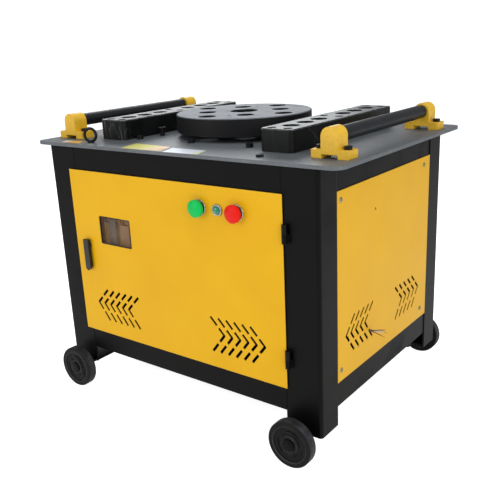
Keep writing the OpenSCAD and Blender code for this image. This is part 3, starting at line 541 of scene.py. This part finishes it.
def powder_coat(name, colour, deep, edge_wear_and_highlight, rough, radius, wear, dust, dusty, specular):
    """Powder coat: two tones in slow clouds, dust in stains, and a paler edge colour where it is worn that
    also serves as a painted highlight.
    """
    made, tree, shader = finish(name, colour, rough, specular=specular)
    skin = effect(tree, paint_skin, Scale=650.0, Waves=7.0)
    worn = effect(tree, edge_wear, Radius=radius, Amount=wear, Scale=90.0)
    dirt = effect(tree, stains, Size=6.0, Cover=0.45)
    tone = blend_colours(tree, skin.outputs["Variation"], deep, colour)
    grey = maths(tree, "MULTIPLY", dirt.outputs["Mask"], dusty)
    tone = blend_colours(tree, grey, tone, dust)
    tree.links.new(blend_colours(tree, worn.outputs["Mask"], tone, edge_wear_and_highlight), shader.inputs["Base Color"])
    tree.links.new(blend_values(tree, dirt.outputs["Mask"], rough, rough + 0.18), shader.inputs["Roughness"])
    bump(tree, shader, skin.outputs["Height"], PEEL_DEPTH, worn.outputs["Normal"], 0.35)
    return made


# the yellow sheet's pale edge colour (244, 214, 122) is partly worn paint and partly a painted highlight
# along its edges
yellow_sheet = powder_coat("yellow_sheet", (227, 174, 14), (222, 168, 12), (244, 214, 122), 0.38,
                           radius=0.0016, wear=0.75, dust=(190, 160, 90), dusty=0.04, specular=0.16)
black_frame = powder_coat("black_frame", (7, 7, 8), (5, 5, 6), (32, 32, 31), 0.42,
                          radius=0.0035, wear=0.2, dust=(40, 39, 36), dusty=0.05, specular=0.10)

# The door's hinge leaves were painted twice: yellow with the door, black beyond its right edge.
hinge_paint, tree, shader = finish("hinge_paint", (10, 10, 11), 0.42, specular=0.15)
unsteady = maths(tree, "MULTIPLY", noise(tree, 160.0, 3, 0.6), 0.002)
ragged = maths(tree, "ADD", object_place(tree)[0], unsteady)
DOOR_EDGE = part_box("door_panel")[1][0]
beyond = spread(tree, ragged, DOOR_EDGE + 0.0005, DOOR_EDGE + 0.0015)
skin = effect(tree, paint_skin, Scale=650.0, Waves=20.0)
worn = effect(tree, edge_wear, Radius=0.0008, Amount=0.7, Scale=160.0)
tone = blend_colours(tree, beyond, (222, 170, 14), (10, 10, 11))
tree.links.new(blend_colours(tree, worn.outputs["Mask"], tone, (120, 112, 90)), shader.inputs["Base Color"])
tree.links.new(blend_values(tree, skin.outputs["Variation"], 0.38, 0.5), shader.inputs["Roughness"])
bump(tree, shader, skin.outputs["Height"], PEEL_DEPTH, worn.outputs["Normal"], 0.35)


def cast_paint(name, colour, deep, bare):
    """Paint on a rough casting: a lumpy skin, chipped through to the dark metal at the edges."""
    made, tree, shader = finish(name, colour, 0.42, specular=0.5)
    worn = effect(tree, edge_wear, Radius=0.0024, Amount=0.55, Scale=150.0)
    dirt = effect(tree, stains, Size=28.0, Cover=0.5)
    lumps = noise(tree, 190.0, 4, 0.6)
    tone = blend_colours(tree, spread(tree, lumps, 0.35, 0.65), deep, colour)
    tone = blend_colours(tree, maths(tree, "MULTIPLY", dirt.outputs["Mask"], 0.3), tone, (176, 132, 52))
    tree.links.new(blend_colours(tree, worn.outputs["Mask"], tone, bare), shader.inputs["Base Color"])
    tree.links.new(blend_values(tree, dirt.outputs["Mask"], 0.38, 0.58), shader.inputs["Roughness"])
    bump(tree, shader, lumps, 0.0004, worn.outputs["Normal"], 0.4)
    return made


housing_yellow = cast_paint("housing_yellow", (238, 190, 44), (230, 180, 38), (130, 106, 60))
motor_paint = cast_paint("motor_paint", (50, 68, 84), (42, 58, 74), (120, 122, 124))
print("paints made")

# %% [markdown]
# ### Steel that works
# The table is thin dark paint over steel, scuffed grey by bars that slide over it. The disc is
# turned steel with an oily bluish skin. The blocks keep their black mill skin, and only their top
# edges shine; their top faces carry a painted highlight, a lighter grey in patches.

# %% Table, disc, blocks and rollers
table_top, tree, shader = finish("table_top", (96, 101, 106), 0.5, metal=0.3, specular=0.5)
dirt = effect(tree, stains, Size=5.0, Cover=0.62)
blot = effect(tree, stains, Size=17.0, Cover=0.35)
cuts = effect(tree, scratches, Width=0.010, Amount=0.75)
worn = effect(tree, edge_wear, Radius=0.0018, Amount=0.5, Scale=70.0)
tone = blend_colours(tree, dirt.outputs["Mask"], (92, 96, 100), (112, 117, 121))
tone = blend_colours(tree, maths(tree, "MULTIPLY", blot.outputs["Mask"], 0.5), tone, (78, 80, 82))
tone = blend_colours(tree, spread(tree, blot.outputs["Fine"], 0.5, 0.75), tone, (112, 116, 120))
tone = blend_colours(tree, maths(tree, "MULTIPLY", cuts.outputs["Mask"], 0.3), tone, (160, 162, 164))
tree.links.new(blend_colours(tree, worn.outputs["Mask"], tone, (126, 122, 116)), shader.inputs["Base Color"])
tree.links.new(blend_values(tree, dirt.outputs["Mask"], 0.45, 0.64), shader.inputs["Roughness"])
grain = maths(tree, "SUBTRACT", blot.outputs["Fine"], maths(tree, "MULTIPLY", cuts.outputs["Mask"], 0.4))
bump(tree, shader, grain, 0.00018, worn.outputs["Normal"], 0.4)

turned_disc, tree, shader = finish("turned_disc", (104, 110, 118), 0.55, metal=0.08, specular=0.22)
marks = effect(tree, tool_marks, Rings=820.0)
dirt = effect(tree, stains, Size=11.0, Cover=0.5)
cuts = effect(tree, scratches, Width=0.012, Amount=0.5)
worn = effect(tree, edge_wear, Radius=0.0016, Amount=0.85, Scale=60.0)
faced = spread(tree, face_direction(tree)[2], 0.4, 0.8)
tone = blend_colours(tree, marks.outputs["Tone"], (94, 100, 108), (110, 116, 124))
tone = blend_colours(tree, maths(tree, "MULTIPLY", dirt.outputs["Mask"], 0.4), tone, (82, 88, 96))
tone = blend_colours(tree, maths(tree, "MULTIPLY", cuts.outputs["Mask"], 0.35), tone, (156, 159, 163))
tone = blend_colours(tree, faced, (18, 18, 20), tone)
tree.links.new(blend_colours(tree, worn.outputs["Mask"], tone, (150, 154, 158)), shader.inputs["Base Color"])
tree.links.new(blend_values(tree, dirt.outputs["Mask"], 0.54, 0.68), shader.inputs["Roughness"])
bump(tree, shader, marks.outputs["Height"], 0.00008, worn.outputs["Normal"], 0.35)


def mill_skin(name, colour, deep, bare, radius=0.0022, wear=0.7, ground=None):
    """Black mill scale: two dark tones in clouds, pits, scratches and bare metal along the edges.
    The last argument is the colour of faces that look up: a painted highlight, in patches."""
    made, tree, shader = finish(name, colour, 0.5, metal=0.35, specular=0.3)
    dirt = effect(tree, stains, Size=16.0, Cover=0.55)
    cuts = effect(tree, scratches, Width=0.012, Amount=0.55)
    worn = effect(tree, edge_wear, Radius=radius, Amount=wear, Scale=85.0)
    tone = blend_colours(tree, dirt.outputs["Mask"], deep, colour)
    if ground is not None:
        # painted highlight: faces that look up take the lighter top colour in patches
        upward = spread(tree, face_direction(tree)[2], 0.5, 0.9)
        patchy = maths(tree, "MULTIPLY", upward, spread(tree, dirt.outputs["Fine"], 0.2, 0.6))
        tone = blend_colours(tree, patchy, tone, ground)
    tone = blend_colours(tree, maths(tree, "MULTIPLY", cuts.outputs["Mask"], 0.4), tone, bare)
    tree.links.new(blend_colours(tree, worn.outputs["Mask"], tone, bare), shader.inputs["Base Color"])
    tree.links.new(blend_values(tree, dirt.outputs["Mask"], 0.42, 0.62), shader.inputs["Roughness"])
    bump(tree, shader, dirt.outputs["Fine"], 0.0003, worn.outputs["Normal"], 0.45)
    return made


# the last colour, (96, 102, 105), is a painted highlight on the blocks' upward faces
block_skin = mill_skin("block_skin", (20, 21, 22), (14, 15, 15), (142, 147, 149), ground=(96, 102, 105))
black_oxide = mill_skin("black_oxide", (22, 22, 23), (16, 16, 17), (70, 70, 70), radius=0.0008, wear=0.4)
cast_grey = mill_skin("cast_grey", (92, 93, 95), (74, 75, 78), (140, 141, 142), radius=0.0015, wear=0.6)


def ground_steel(name, colour, deep, rough, stretch, metal=0.9):
    """Ground or turned metal: fine grain that runs one way, with stains that dull it."""
    made, tree, shader = finish(name, colour, rough, metal=metal)
    grain = noise(tree, 1.0, 4, 0.6, stretch=stretch)
    dirt = effect(tree, stains, Size=22.0, Cover=0.45)
    worn = effect(tree, edge_wear, Radius=0.0009, Amount=0.4, Scale=120.0)
    tone = blend_colours(tree, spread(tree, grain, 0.3, 0.7), deep, colour)
    tone = blend_colours(tree, maths(tree, "MULTIPLY", dirt.outputs["Mask"], 0.5), tone, deep)
    tone = blend_colours(tree, worn.outputs["Mask"], tone, (190, 190, 190))
    tree.links.new(tone, shader.inputs["Base Color"])
    tree.links.new(blend_values(tree, dirt.outputs["Mask"], rough, rough + 0.2), shader.inputs["Roughness"])
    bump(tree, shader, grain, 0.00006, worn.outputs["Normal"], 0.4)
    return made


roller_steel = ground_steel("roller_steel", (27, 30, 35), (19, 21, 25), 0.42, (60, 900, 60), metal=0.3)
zinc_plate = ground_steel("zinc_plate", (168, 158, 128), (130, 122, 98), 0.42, (300, 300, 300), metal=0.6)
machined_steel = ground_steel("machined_steel", (150, 151, 154), (118, 119, 123), 0.28, (60, 60, 900))
gear_steel = ground_steel("gear_steel", (118, 114, 106), (84, 80, 74), 0.36, (90, 90, 700))
bearing_steel = ground_steel("bearing_steel", (196, 197, 200), (160, 161, 165), 0.16, (80, 80, 500))
chrome_ring = ground_steel("chrome_ring", (196, 192, 178), (150, 147, 136), 0.22, (240, 900, 240), metal=0.8)
print("metals made")

# %% [markdown]
# ### Plastic, rubber, copper and the window
# Moulded parts have a very fine spark-eroded grain. The window is clear plastic: most light goes
# through, and the board and contactors behind it glow with painted light so that they show.

# %% Plastic and rubber
PALE_DUST = (150, 146, 138)


def moulded(name, colour, rough, grain=900.0, depth=0.00005, dusty=0.1, wear=(110, 110, 108), specular=0.45):
    """Moulded plastic or rubber: fine grain, light dust in clouds, slightly paler worn edges."""
    made, tree, shader = finish(name, colour, rough, specular=specular)
    dirt = effect(tree, stains, Size=20.0, Cover=0.5)
    worn = effect(tree, edge_wear, Radius=0.0008, Amount=0.3, Scale=130.0)
    tone = blend_colours(tree, maths(tree, "MULTIPLY", dirt.outputs["Mask"], dusty), colour, PALE_DUST)
    tone = blend_colours(tree, maths(tree, "MULTIPLY", worn.outputs["Mask"], 0.5), tone, wear)
    tree.links.new(tone, shader.inputs["Base Color"])
    tree.links.new(blend_values(tree, dirt.outputs["Mask"], rough, rough + 0.14), shader.inputs["Roughness"])
    bump(tree, shader, noise(tree, grain, 2, 0.5), depth, worn.outputs["Normal"], 0.4)
    return made


def glow(made, colour, strength):
    """Lets a material give off a little light of its own."""
    shader = made.node_tree.nodes["Principled BSDF"]
    set_colour(shader.inputs["Emission Color"], colour)
    shader.inputs["Emission Strength"].default_value = strength


wheel_plastic = moulded("wheel_plastic", (10, 10, 11), 0.55, dusty=0.03, wear=(60, 62, 62), specular=0.2)

# A wheel turns about Y, so a face that doesn't look along Y is its tread, which picks up dust.
tread_rubber, tree, shader = finish("tread_rubber", (9, 9, 10), 0.6, specular=0.16)
sideways = maths(tree, "ABSOLUTE", face_direction(tree)[1])
rolling = spread(tree, maths(tree, "SUBTRACT", 1.0, sideways), 0.25, 0.8)
dirt = effect(tree, stains, Size=26.0, Cover=0.6)
worn = effect(tree, edge_wear, Radius=0.0034, Amount=0.8, Scale=60.0)
dusty = blend_colours(tree, dirt.outputs["Mask"], (40, 40, 43), (78, 79, 82))
tone = blend_colours(tree, rolling, (9, 9, 10), dusty)
tone = blend_colours(tree, maths(tree, "MULTIPLY", worn.outputs["Mask"], 0.7), tone, (112, 118, 116))
tree.links.new(tone, shader.inputs["Base Color"])
tree.links.new(blend_values(tree, dirt.outputs["Mask"], 0.5, 0.7), shader.inputs["Roughness"])
bump(tree, shader, dirt.outputs["Fine"], 0.0002, worn.outputs["Normal"], 0.4)

rubber_black = moulded("rubber_black", (20, 20, 20), 0.66, grain=500.0, depth=0.0001, dusty=0.2)
handle_plastic = moulded("handle_plastic", (12, 15, 15), 0.36, dusty=0.03)
contactor_plastic = moulded("contactor_plastic", (140, 110, 84), 0.5, dusty=0.1)
# painted light: the contactors give off a little light of their own, though they are no lamp, so they show
# through the window
glow(contactor_plastic, (150, 108, 72), 0.3)
board_laminate = moulded("board_laminate", (166, 128, 96), 0.55, dusty=0.2)
# painted light: the board gives off a little light of its own, though it is no lamp, so it shows through the
# window
glow(board_laminate, (166, 120, 84), 0.5)
green_plastic = moulded("green_plastic", (0, 186, 84), 0.4, dusty=0.0, wear=(30, 200, 110), specular=0.2)
red_plastic = moulded("red_plastic", (222, 20, 8), 0.4, dusty=0.0, wear=(232, 70, 52), specular=0.2)
sheath_grey = moulded("sheath_grey", (82, 78, 72), 0.55, grain=420.0, depth=0.00012, dusty=0.2)
core_white = moulded("core_white", (196, 192, 184), 0.5, dusty=0.2)
core_brown = moulded("core_brown", (112, 78, 56), 0.5, dusty=0.1)

lamp_lens, tree, shader = finish("lamp_lens", (22, 130, 112), 0.12, coat=0.6)
shader.inputs["Transmission Weight"].default_value = 0.25
glow(lamp_lens, (20, 150, 124), 0.12)
cells = noise(tree, 320.0, 2, 0.5)
tone = blend_colours(tree, spread(tree, cells, 0.35, 0.65), (14, 104, 92), (36, 150, 130))
tree.links.new(tone, shader.inputs["Base Color"])
bump(tree, shader, cells, 0.0002, None, 0.35)

window_pane, tree, shader = finish("window_pane", (132, 106, 78), 0.12, specular=0.3)
haze = effect(tree, stains, Size=30.0, Cover=0.5)
tone = blend_colours(tree, haze.outputs["Mask"], (122, 98, 70), (150, 122, 90))
tree.links.new(tone, shader.inputs["Base Color"])
tree.links.new(blend_values(tree, haze.outputs["Mask"], 0.16, 0.3), shader.inputs["Alpha"])

copper_core, tree, shader = finish("copper_core", (150, 92, 58), 0.45, metal=0.7)
sheets = noise(tree, 1.0, 2, 0.5, stretch=(20, 20, 1400))
tone = blend_colours(tree, spread(tree, sheets, 0.4, 0.6), (96, 92, 90), (160, 98, 60))
tree.links.new(tone, shader.inputs["Base Color"])
bump(tree, shader, sheets, 0.0002, None, 0.5)
print("plastics made")

# %% [markdown]
# ## Dress the frame's parts
# Each part of the frame names a material slot. One table gives the finish for every slot.

# %% Assign the finishes
finish_of_slot = {
    "frame_black": black_frame, "sheet_yellow": yellow_sheet, "housing_yellow": housing_yellow,
    "table_steel": table_top, "disc_steel": turned_disc, "block_steel": block_skin,
    "roller_steel": roller_steel, "black_oxide": black_oxide, "zinc_steel": zinc_plate,
    "machined_steel": machined_steel, "gear_steel": gear_steel, "bearing_chrome": bearing_steel,
    "cast_grey": cast_grey, "motor_blue": motor_paint, "copper_iron": copper_core,
    "wheel_black": tread_rubber, "belt_rubber": rubber_black, "grommet_rubber": rubber_black,
    "board_brown": board_laminate, "contactor_grey": contactor_plastic, "window_clear": window_pane,
    "handle_black": handle_plastic, "switch_chrome": chrome_ring, "button_green": green_plastic,
    "button_red": red_plastic, "lamp_teal": lamp_lens, "lead_sheath": sheath_grey,
}
for part in frame["record"]["subparts"]:
    mesh = nodes[part["node"]].data
    mesh.materials.clear()
    mesh.materials.append(finish_of_slot[part["material_slot"]])
nodes["hinge_leaves"].data.materials[0] = hinge_paint
nodes["switch_bodies"].data.materials[0] = handle_plastic

# %% [markdown]
# ## The lead's finish, and its bare wire
# The lead was shaped first, so its finishes come now. Copper that has been in the air is a dull
# orange metal with darker patches.

# %% Dress the lead
bare_copper = ground_steel("bare_copper", (196, 132, 92), (140, 90, 62), 0.34, (500, 500, 500), metal=0.9)
core_black = moulded("core_black", (40, 38, 38), 0.5, dusty=0.1)
core_pale = moulded("core_pale", (206, 186, 170), 0.5, dusty=0.1)
lead.data.materials.append(sheath_grey)
for core, colour in zip(cores, (core_black, core_white, core_brown, core_pale)):
    core.data.materials.append(colour)
for tip in tips:
    tip.data.materials.append(bare_copper)
print("lead dressed:", 1 + len(cores) + len(tips), "pieces")

# %% [markdown]
# ## What shows through the window
# Behind the pane a plastic wiring duct with open fingers runs down between the two contactors and
# along their top, and single wires arch from the terminals into it. A duct is a row of thin slabs:
# eight corners each, all made in one array.

# %% Wiring ducts and wires
def slabs(name, boxes):
    """One mesh from many boxes, each given by its low and high corner: corner k takes the low or
    the high value of an axis by one bit of k."""
    box = np.array(boxes, float) * MM
    bits = np.array([[(k >> axis) & 1 for axis in range(3)] for k in range(8)])
    corners = np.where(bits[None] == 1, box[:, None, 1], box[:, None, 0]).reshape(-1, 3)
    quads = np.array([[0, 2, 3, 1], [4, 5, 7, 6], [0, 1, 5, 4], [2, 6, 7, 3], [0, 4, 6, 2], [1, 3, 7, 5]])
    faces = (quads[None] + 8 * np.arange(len(box))[:, None, None]).reshape(-1, 4)
    mesh = bpy.data.meshes.new(name)
    mesh.from_pydata(corners.tolist(), [], faces.tolist())
    mesh.update()
    return mesh


duct_plastic = moulded("duct_plastic", (92, 90, 86), 0.55, dusty=0.2)
upright_duct = [((-224, -287, 402), (-198, -285, 480))]
upright_duct += [((x, -291.5, z), (x + 1.6, -287, z + 3.6))
                 for x in (-224, -199.6) for z in range(403, 478, 6)]
upright_duct += [((-223.5, -293, 402), (-198.5, -291.6, 480))]
new_object("wiring_duct_upright", slabs("wiring_duct_upright", upright_duct), duct_plastic,
           "frame", False)
dark_duct_plastic = moulded("dark_duct_plastic", (52, 48, 46), 0.55, dusty=0.15)
level_duct = [((-276, -279, 482), (-112, -277, 504)), ((-276, -296, 482), (-112, -294.6, 504))]
level_duct += [((x, -294.5, z), (x + 3.6, -279, z + 1.6)) for z in (482, 502.4) for x in range(-275, -114, 7)]
new_object("wiring_duct_level", slabs("wiring_duct_level", level_duct), dark_duct_plastic,
           "frame", False)

wire_colours = {"red": (168, 40, 32), "blue": (40, 66, 128), "black": (26, 26, 27), "ochre": (176, 132, 40)}
wire_finish = {key: moulded("wire_" + key, colour, 0.45, dusty=0.1) for key, colour in wire_colours.items()}
TERMINALS = [(-248, "red"), (-238, "blue"), (-229, "black"), (-188, "ochre"), (-178, "red"), (-168, "black"),
             (-136, "blue"), (-128, "ochre")]
PANEL_WIRE_RADIUS = 1.3 * MM
for number, (x, key) in enumerate(TERMINALS):
    sway = 2.2 * math.sin(2.3 * number)
    arch = [(x, -285, 464), (x, -289, 466), (x + sway, -292, 472), (x + sway, -291, 478),
            (x + 1.5 * sway, -288, 486), (x + 1.5 * sway, -286, 492)]
    wire = smooth_path(np.array(arch) * MM)
    name = "panel_wire_%d" % (number + 1)
    new_object(name, swept(name, wire, PANEL_WIRE_RADIUS, 10), wire_finish[key], "frame")
print("ducts and 8 wires")

# %% [markdown]
# ## The window's rubber edge
# The pane sits in a thin rubber bead that follows the rounded rectangle of the opening: a closed
# tube along that outline.

# %% Window bead
def rounded_outline(x0, x1, z0, z1, y, radius, steps=6):
    """A closed rectangle in the XZ plane, each corner a quarter circle of this radius."""
    t = np.linspace(0, np.pi / 2, steps)
    rows = []
    for turn, (cx, cz) in enumerate(((x1 - radius, z1 - radius), (x0 + radius, z1 - radius),
                                     (x0 + radius, z0 + radius), (x1 - radius, z0 + radius))):
        a = t + turn * np.pi / 2
        rows.append(np.stack([cx + radius * np.cos(a), np.full(steps, y), cz + radius * np.sin(a)], -1))
    return np.concatenate(rows)


pane_low, pane_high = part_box("door_window")
door_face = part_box("door_panel")[0][1]
PANE_LAP, BEAD = 8 * MM, 1.5 * MM
outline = rounded_outline(pane_low[0] + PANE_LAP, pane_high[0] - PANE_LAP, pane_low[2] + PANE_LAP,
                          pane_high[2] - PANE_LAP, door_face + 0.4 * MM, 3 * MM)
new_object("window_bead", loop_tube("window_bead", outline, BEAD), rubber_black, "door")
print("bead around", round((outline[:, 0].max() - outline[:, 0].min()) * 1000), "mm of window")

# %% [markdown]
# ## Rings on the control row
# A bright ring clamps each push button against the sheet, and a wider one holds the lamp's lens.
# Both are turned profiles that face the viewer of the door.

# %% Button and lamp rings
def control_ring(name, node, profile, radius):
    """A ring on the door's face around a node. profile holds (distance, height) pairs in mm."""
    low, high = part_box(node)
    centre = ((low[0] + high[0]) / 2, door_face, (low[2] + high[2]) / 2)
    ring = turned(name, np.array(profile) * MM, centre, (0, -1, 0), 72, radius)
    new_object(name, ring, chrome_ring, "door")


BUTTON_PROFILE = [(16.6, 0), (19, 0), (18.7, 1.6), (17.6, 2.6), (16.6, 2.6), (16.6, 0)]
LAMP_PROFILE = [(9.2, 0), (13.8, 0), (13.5, 3.4), (12.0, 4.8), (10.2, 4.8), (9.2, 3.6), (9.2, 0)]
control_ring("green_ring", "green_button", BUTTON_PROFILE, 0.3 * MM)
control_ring("red_ring", "red_button", BUTTON_PROFILE, 0.3 * MM)
control_ring("lamp_ring", "pilot_lamp", LAMP_PROFILE, 0.5 * MM)
print("three rings")

# %% [markdown]
# ## Hub ribs on the wheels
# Curved ribs stand in the dished face of each moulded wheel. A rib is a short tube along an arc
# that is flattened against the dish, and it thins towards both ends.

# %% Wheel ribs
RIB_POINTS, RIB_RADIUS, RIB_DEPTH = 17, 2.2 * MM, 2.6 * MM
BODY_OF_WHEEL = {"front_left": "wheel_fl", "front_right": "wheel_fr", "rear_left": "wheel_rl",
                 "rear_right": "wheel_rr"}
for corner, body in BODY_OF_WHEEL.items():
    low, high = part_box("wheel_" + corner)
    middle = (low + high) / 2
    outer = low[1] + RIB_DEPTH if middle[1] < 0 else high[1] - RIB_DEPTH
    for number in range(6):
        far = number % 2
        start = math.radians(120 * (number // 2) + 46 * far)
        a = start + np.radians(np.linspace(0, 64, RIB_POINTS))
        distance = (31 if far else 24) * MM
        rib = np.stack([middle[0] + distance * np.cos(a), np.full(RIB_POINTS, outer),
                        middle[2] + distance * np.sin(a)], -1)
        name = "wheel_rib_%s_%d" % (corner, number + 1)
        thick = RIB_RADIUS * np.sin(np.linspace(0.12, np.pi - 0.12, RIB_POINTS)) ** 0.4
        new_object(name, swept(name, rib, thick, 10), wheel_plastic, body)
print("ribs on four wheels")

# %% [markdown]
# ## Weld beads
# The rails are welded between the corner posts. A hand weld is a row of overlapping drops, so its
# radius swells and shrinks along the seam, and paint covers it like the rest of the frame.

# %% Weld beads
DROP, BEAD_STEP, WELD_RADIUS = 4.2 * MM, 0.9 * MM, 1.5 * MM


def weld(name, start, end):
    """A bead from start to end, in mm. At distance s along it the radius is
    WELD_RADIUS * (1 + 0.14 |sin(pi s / DROP)|), and it tapers at both ends."""
    start, end = np.array(start) * MM, np.array(end) * MM
    length = np.linalg.norm(end - start)
    share = np.linspace(0, 1, int(length / BEAD_STEP))
    path = start + (end - start) * share[:, None]
    drops = np.abs(np.sin(np.pi * share * length / DROP))
    taper = np.clip(np.minimum(share, 1 - share) * 30, 0.25, 1)
    bead = swept(name, path, WELD_RADIUS * (1 + 0.14 * drops) * taper, 10)
    new_object(name, bead, black_frame, "frame")


SEAM_X, SEAM_Y, FACE_X, FACE_Y = 315, 235, 403.4, 304.2
number = 0
for sx in (-1, 1):
    for kind, x, y, heights in (("x", SEAM_X, FACE_Y, ((108, 160), (592, 655))),
                                ("y", FACE_X, SEAM_Y, ((108, 163), (600, 655)))):
        for z0, z1 in heights:
            for sy in (-1, 1):
                number += 1
                weld("weld_%s_%d" % (kind, number), (sx * x, sy * y, z0), (sx * x, sy * y, z1))
print("weld beads:", number)

# %% [markdown]
# ## Blank labels on the table
# Three plain stickers lie along the table's front edge. Each is a thin sheet that follows its four
# corners, with rubbed areas of two colours and no print.

# %% Labels
LABEL_GAP, LABEL_THICKNESS = 0.05 * MM, 0.3 * MM


def label(name, corners, field, patch, patch_from, rub):
    """A sticker: a grid between four corners (front left, front right, back right, back left),
    0.3 mm thick. patch_from is the X in metres where its second colour starts."""
    made, tree, shader = finish(name + "_print", field, 0.42, specular=0.4)
    wobble = maths(tree, "MULTIPLY", noise(tree, 60.0, 3, 0.6), 0.012)
    share = spread(tree, maths(tree, "ADD", object_place(tree)[0], wobble), patch_from, patch_from + 0.008)
    patchy = effect(tree, stains, Size=34.0, Cover=0.5)
    tone = blend_colours(tree, share, field, patch)
    tone = blend_colours(tree, maths(tree, "MULTIPLY", patchy.outputs["Mask"], 0.4), tone, rub)
    tree.links.new(tone, shader.inputs["Base Color"])
    tree.links.new(blend_values(tree, patchy.outputs["Mask"], 0.36, 0.6), shader.inputs["Roughness"])
    bump(tree, shader, patchy.outputs["Fine"], 0.0001, None, 0.3)
    fl, fr, br, bl = (np.array(corner, float) * MM for corner in corners)
    u, v = np.meshgrid(np.linspace(0, 1, 13), np.linspace(0, 1, 7))
    u, v = u[..., None], v[..., None]
    flat = (1 - u) * ((1 - v) * fl + v * bl) + u * ((1 - v) * fr + v * br)
    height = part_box("table_plate")[1][2] + LABEL_GAP + LABEL_THICKNESS
    top = np.concatenate([flat, np.full(flat.shape[:2] + (1,), height)], -1)
    down = np.array([0, 0, LABEL_THICKNESS])
    rim = np.concatenate([top[0], top[1:, -1], top[-1, -2::-1], top[-2:0:-1, 0]])
    under = grid_mesh(name + "_under", top - down, around=False)
    edge_strip = grid_mesh(name + "_edge", np.stack([rim, rim - down]))
    sheet = outward(grid_mesh(name, top, around=False), under, edge_strip)
    new_object(name, sheet, made, "frame", False)


label("label_left", ((-361, -300), (-299, -294), (-317, -266), (-376, -273)),
      (204, 206, 204), (214, 168, 84), -0.345, (150, 148, 142))
label("label_middle", ((-135, -308), (-13, -302), (-30, -249), (-151, -242)),
      (196, 190, 60), (206, 168, 104), -0.060, (168, 164, 120))
label("label_right", ((1, -310), (100, -306), (86, -259), (-17, -257)),
      (196, 204, 214), (196, 200, 120), 0.088, (168, 176, 184))
print("three blank labels")

# %% Sizes and the end
low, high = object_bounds()
print("size", [round(v, 4) for v in high - low])
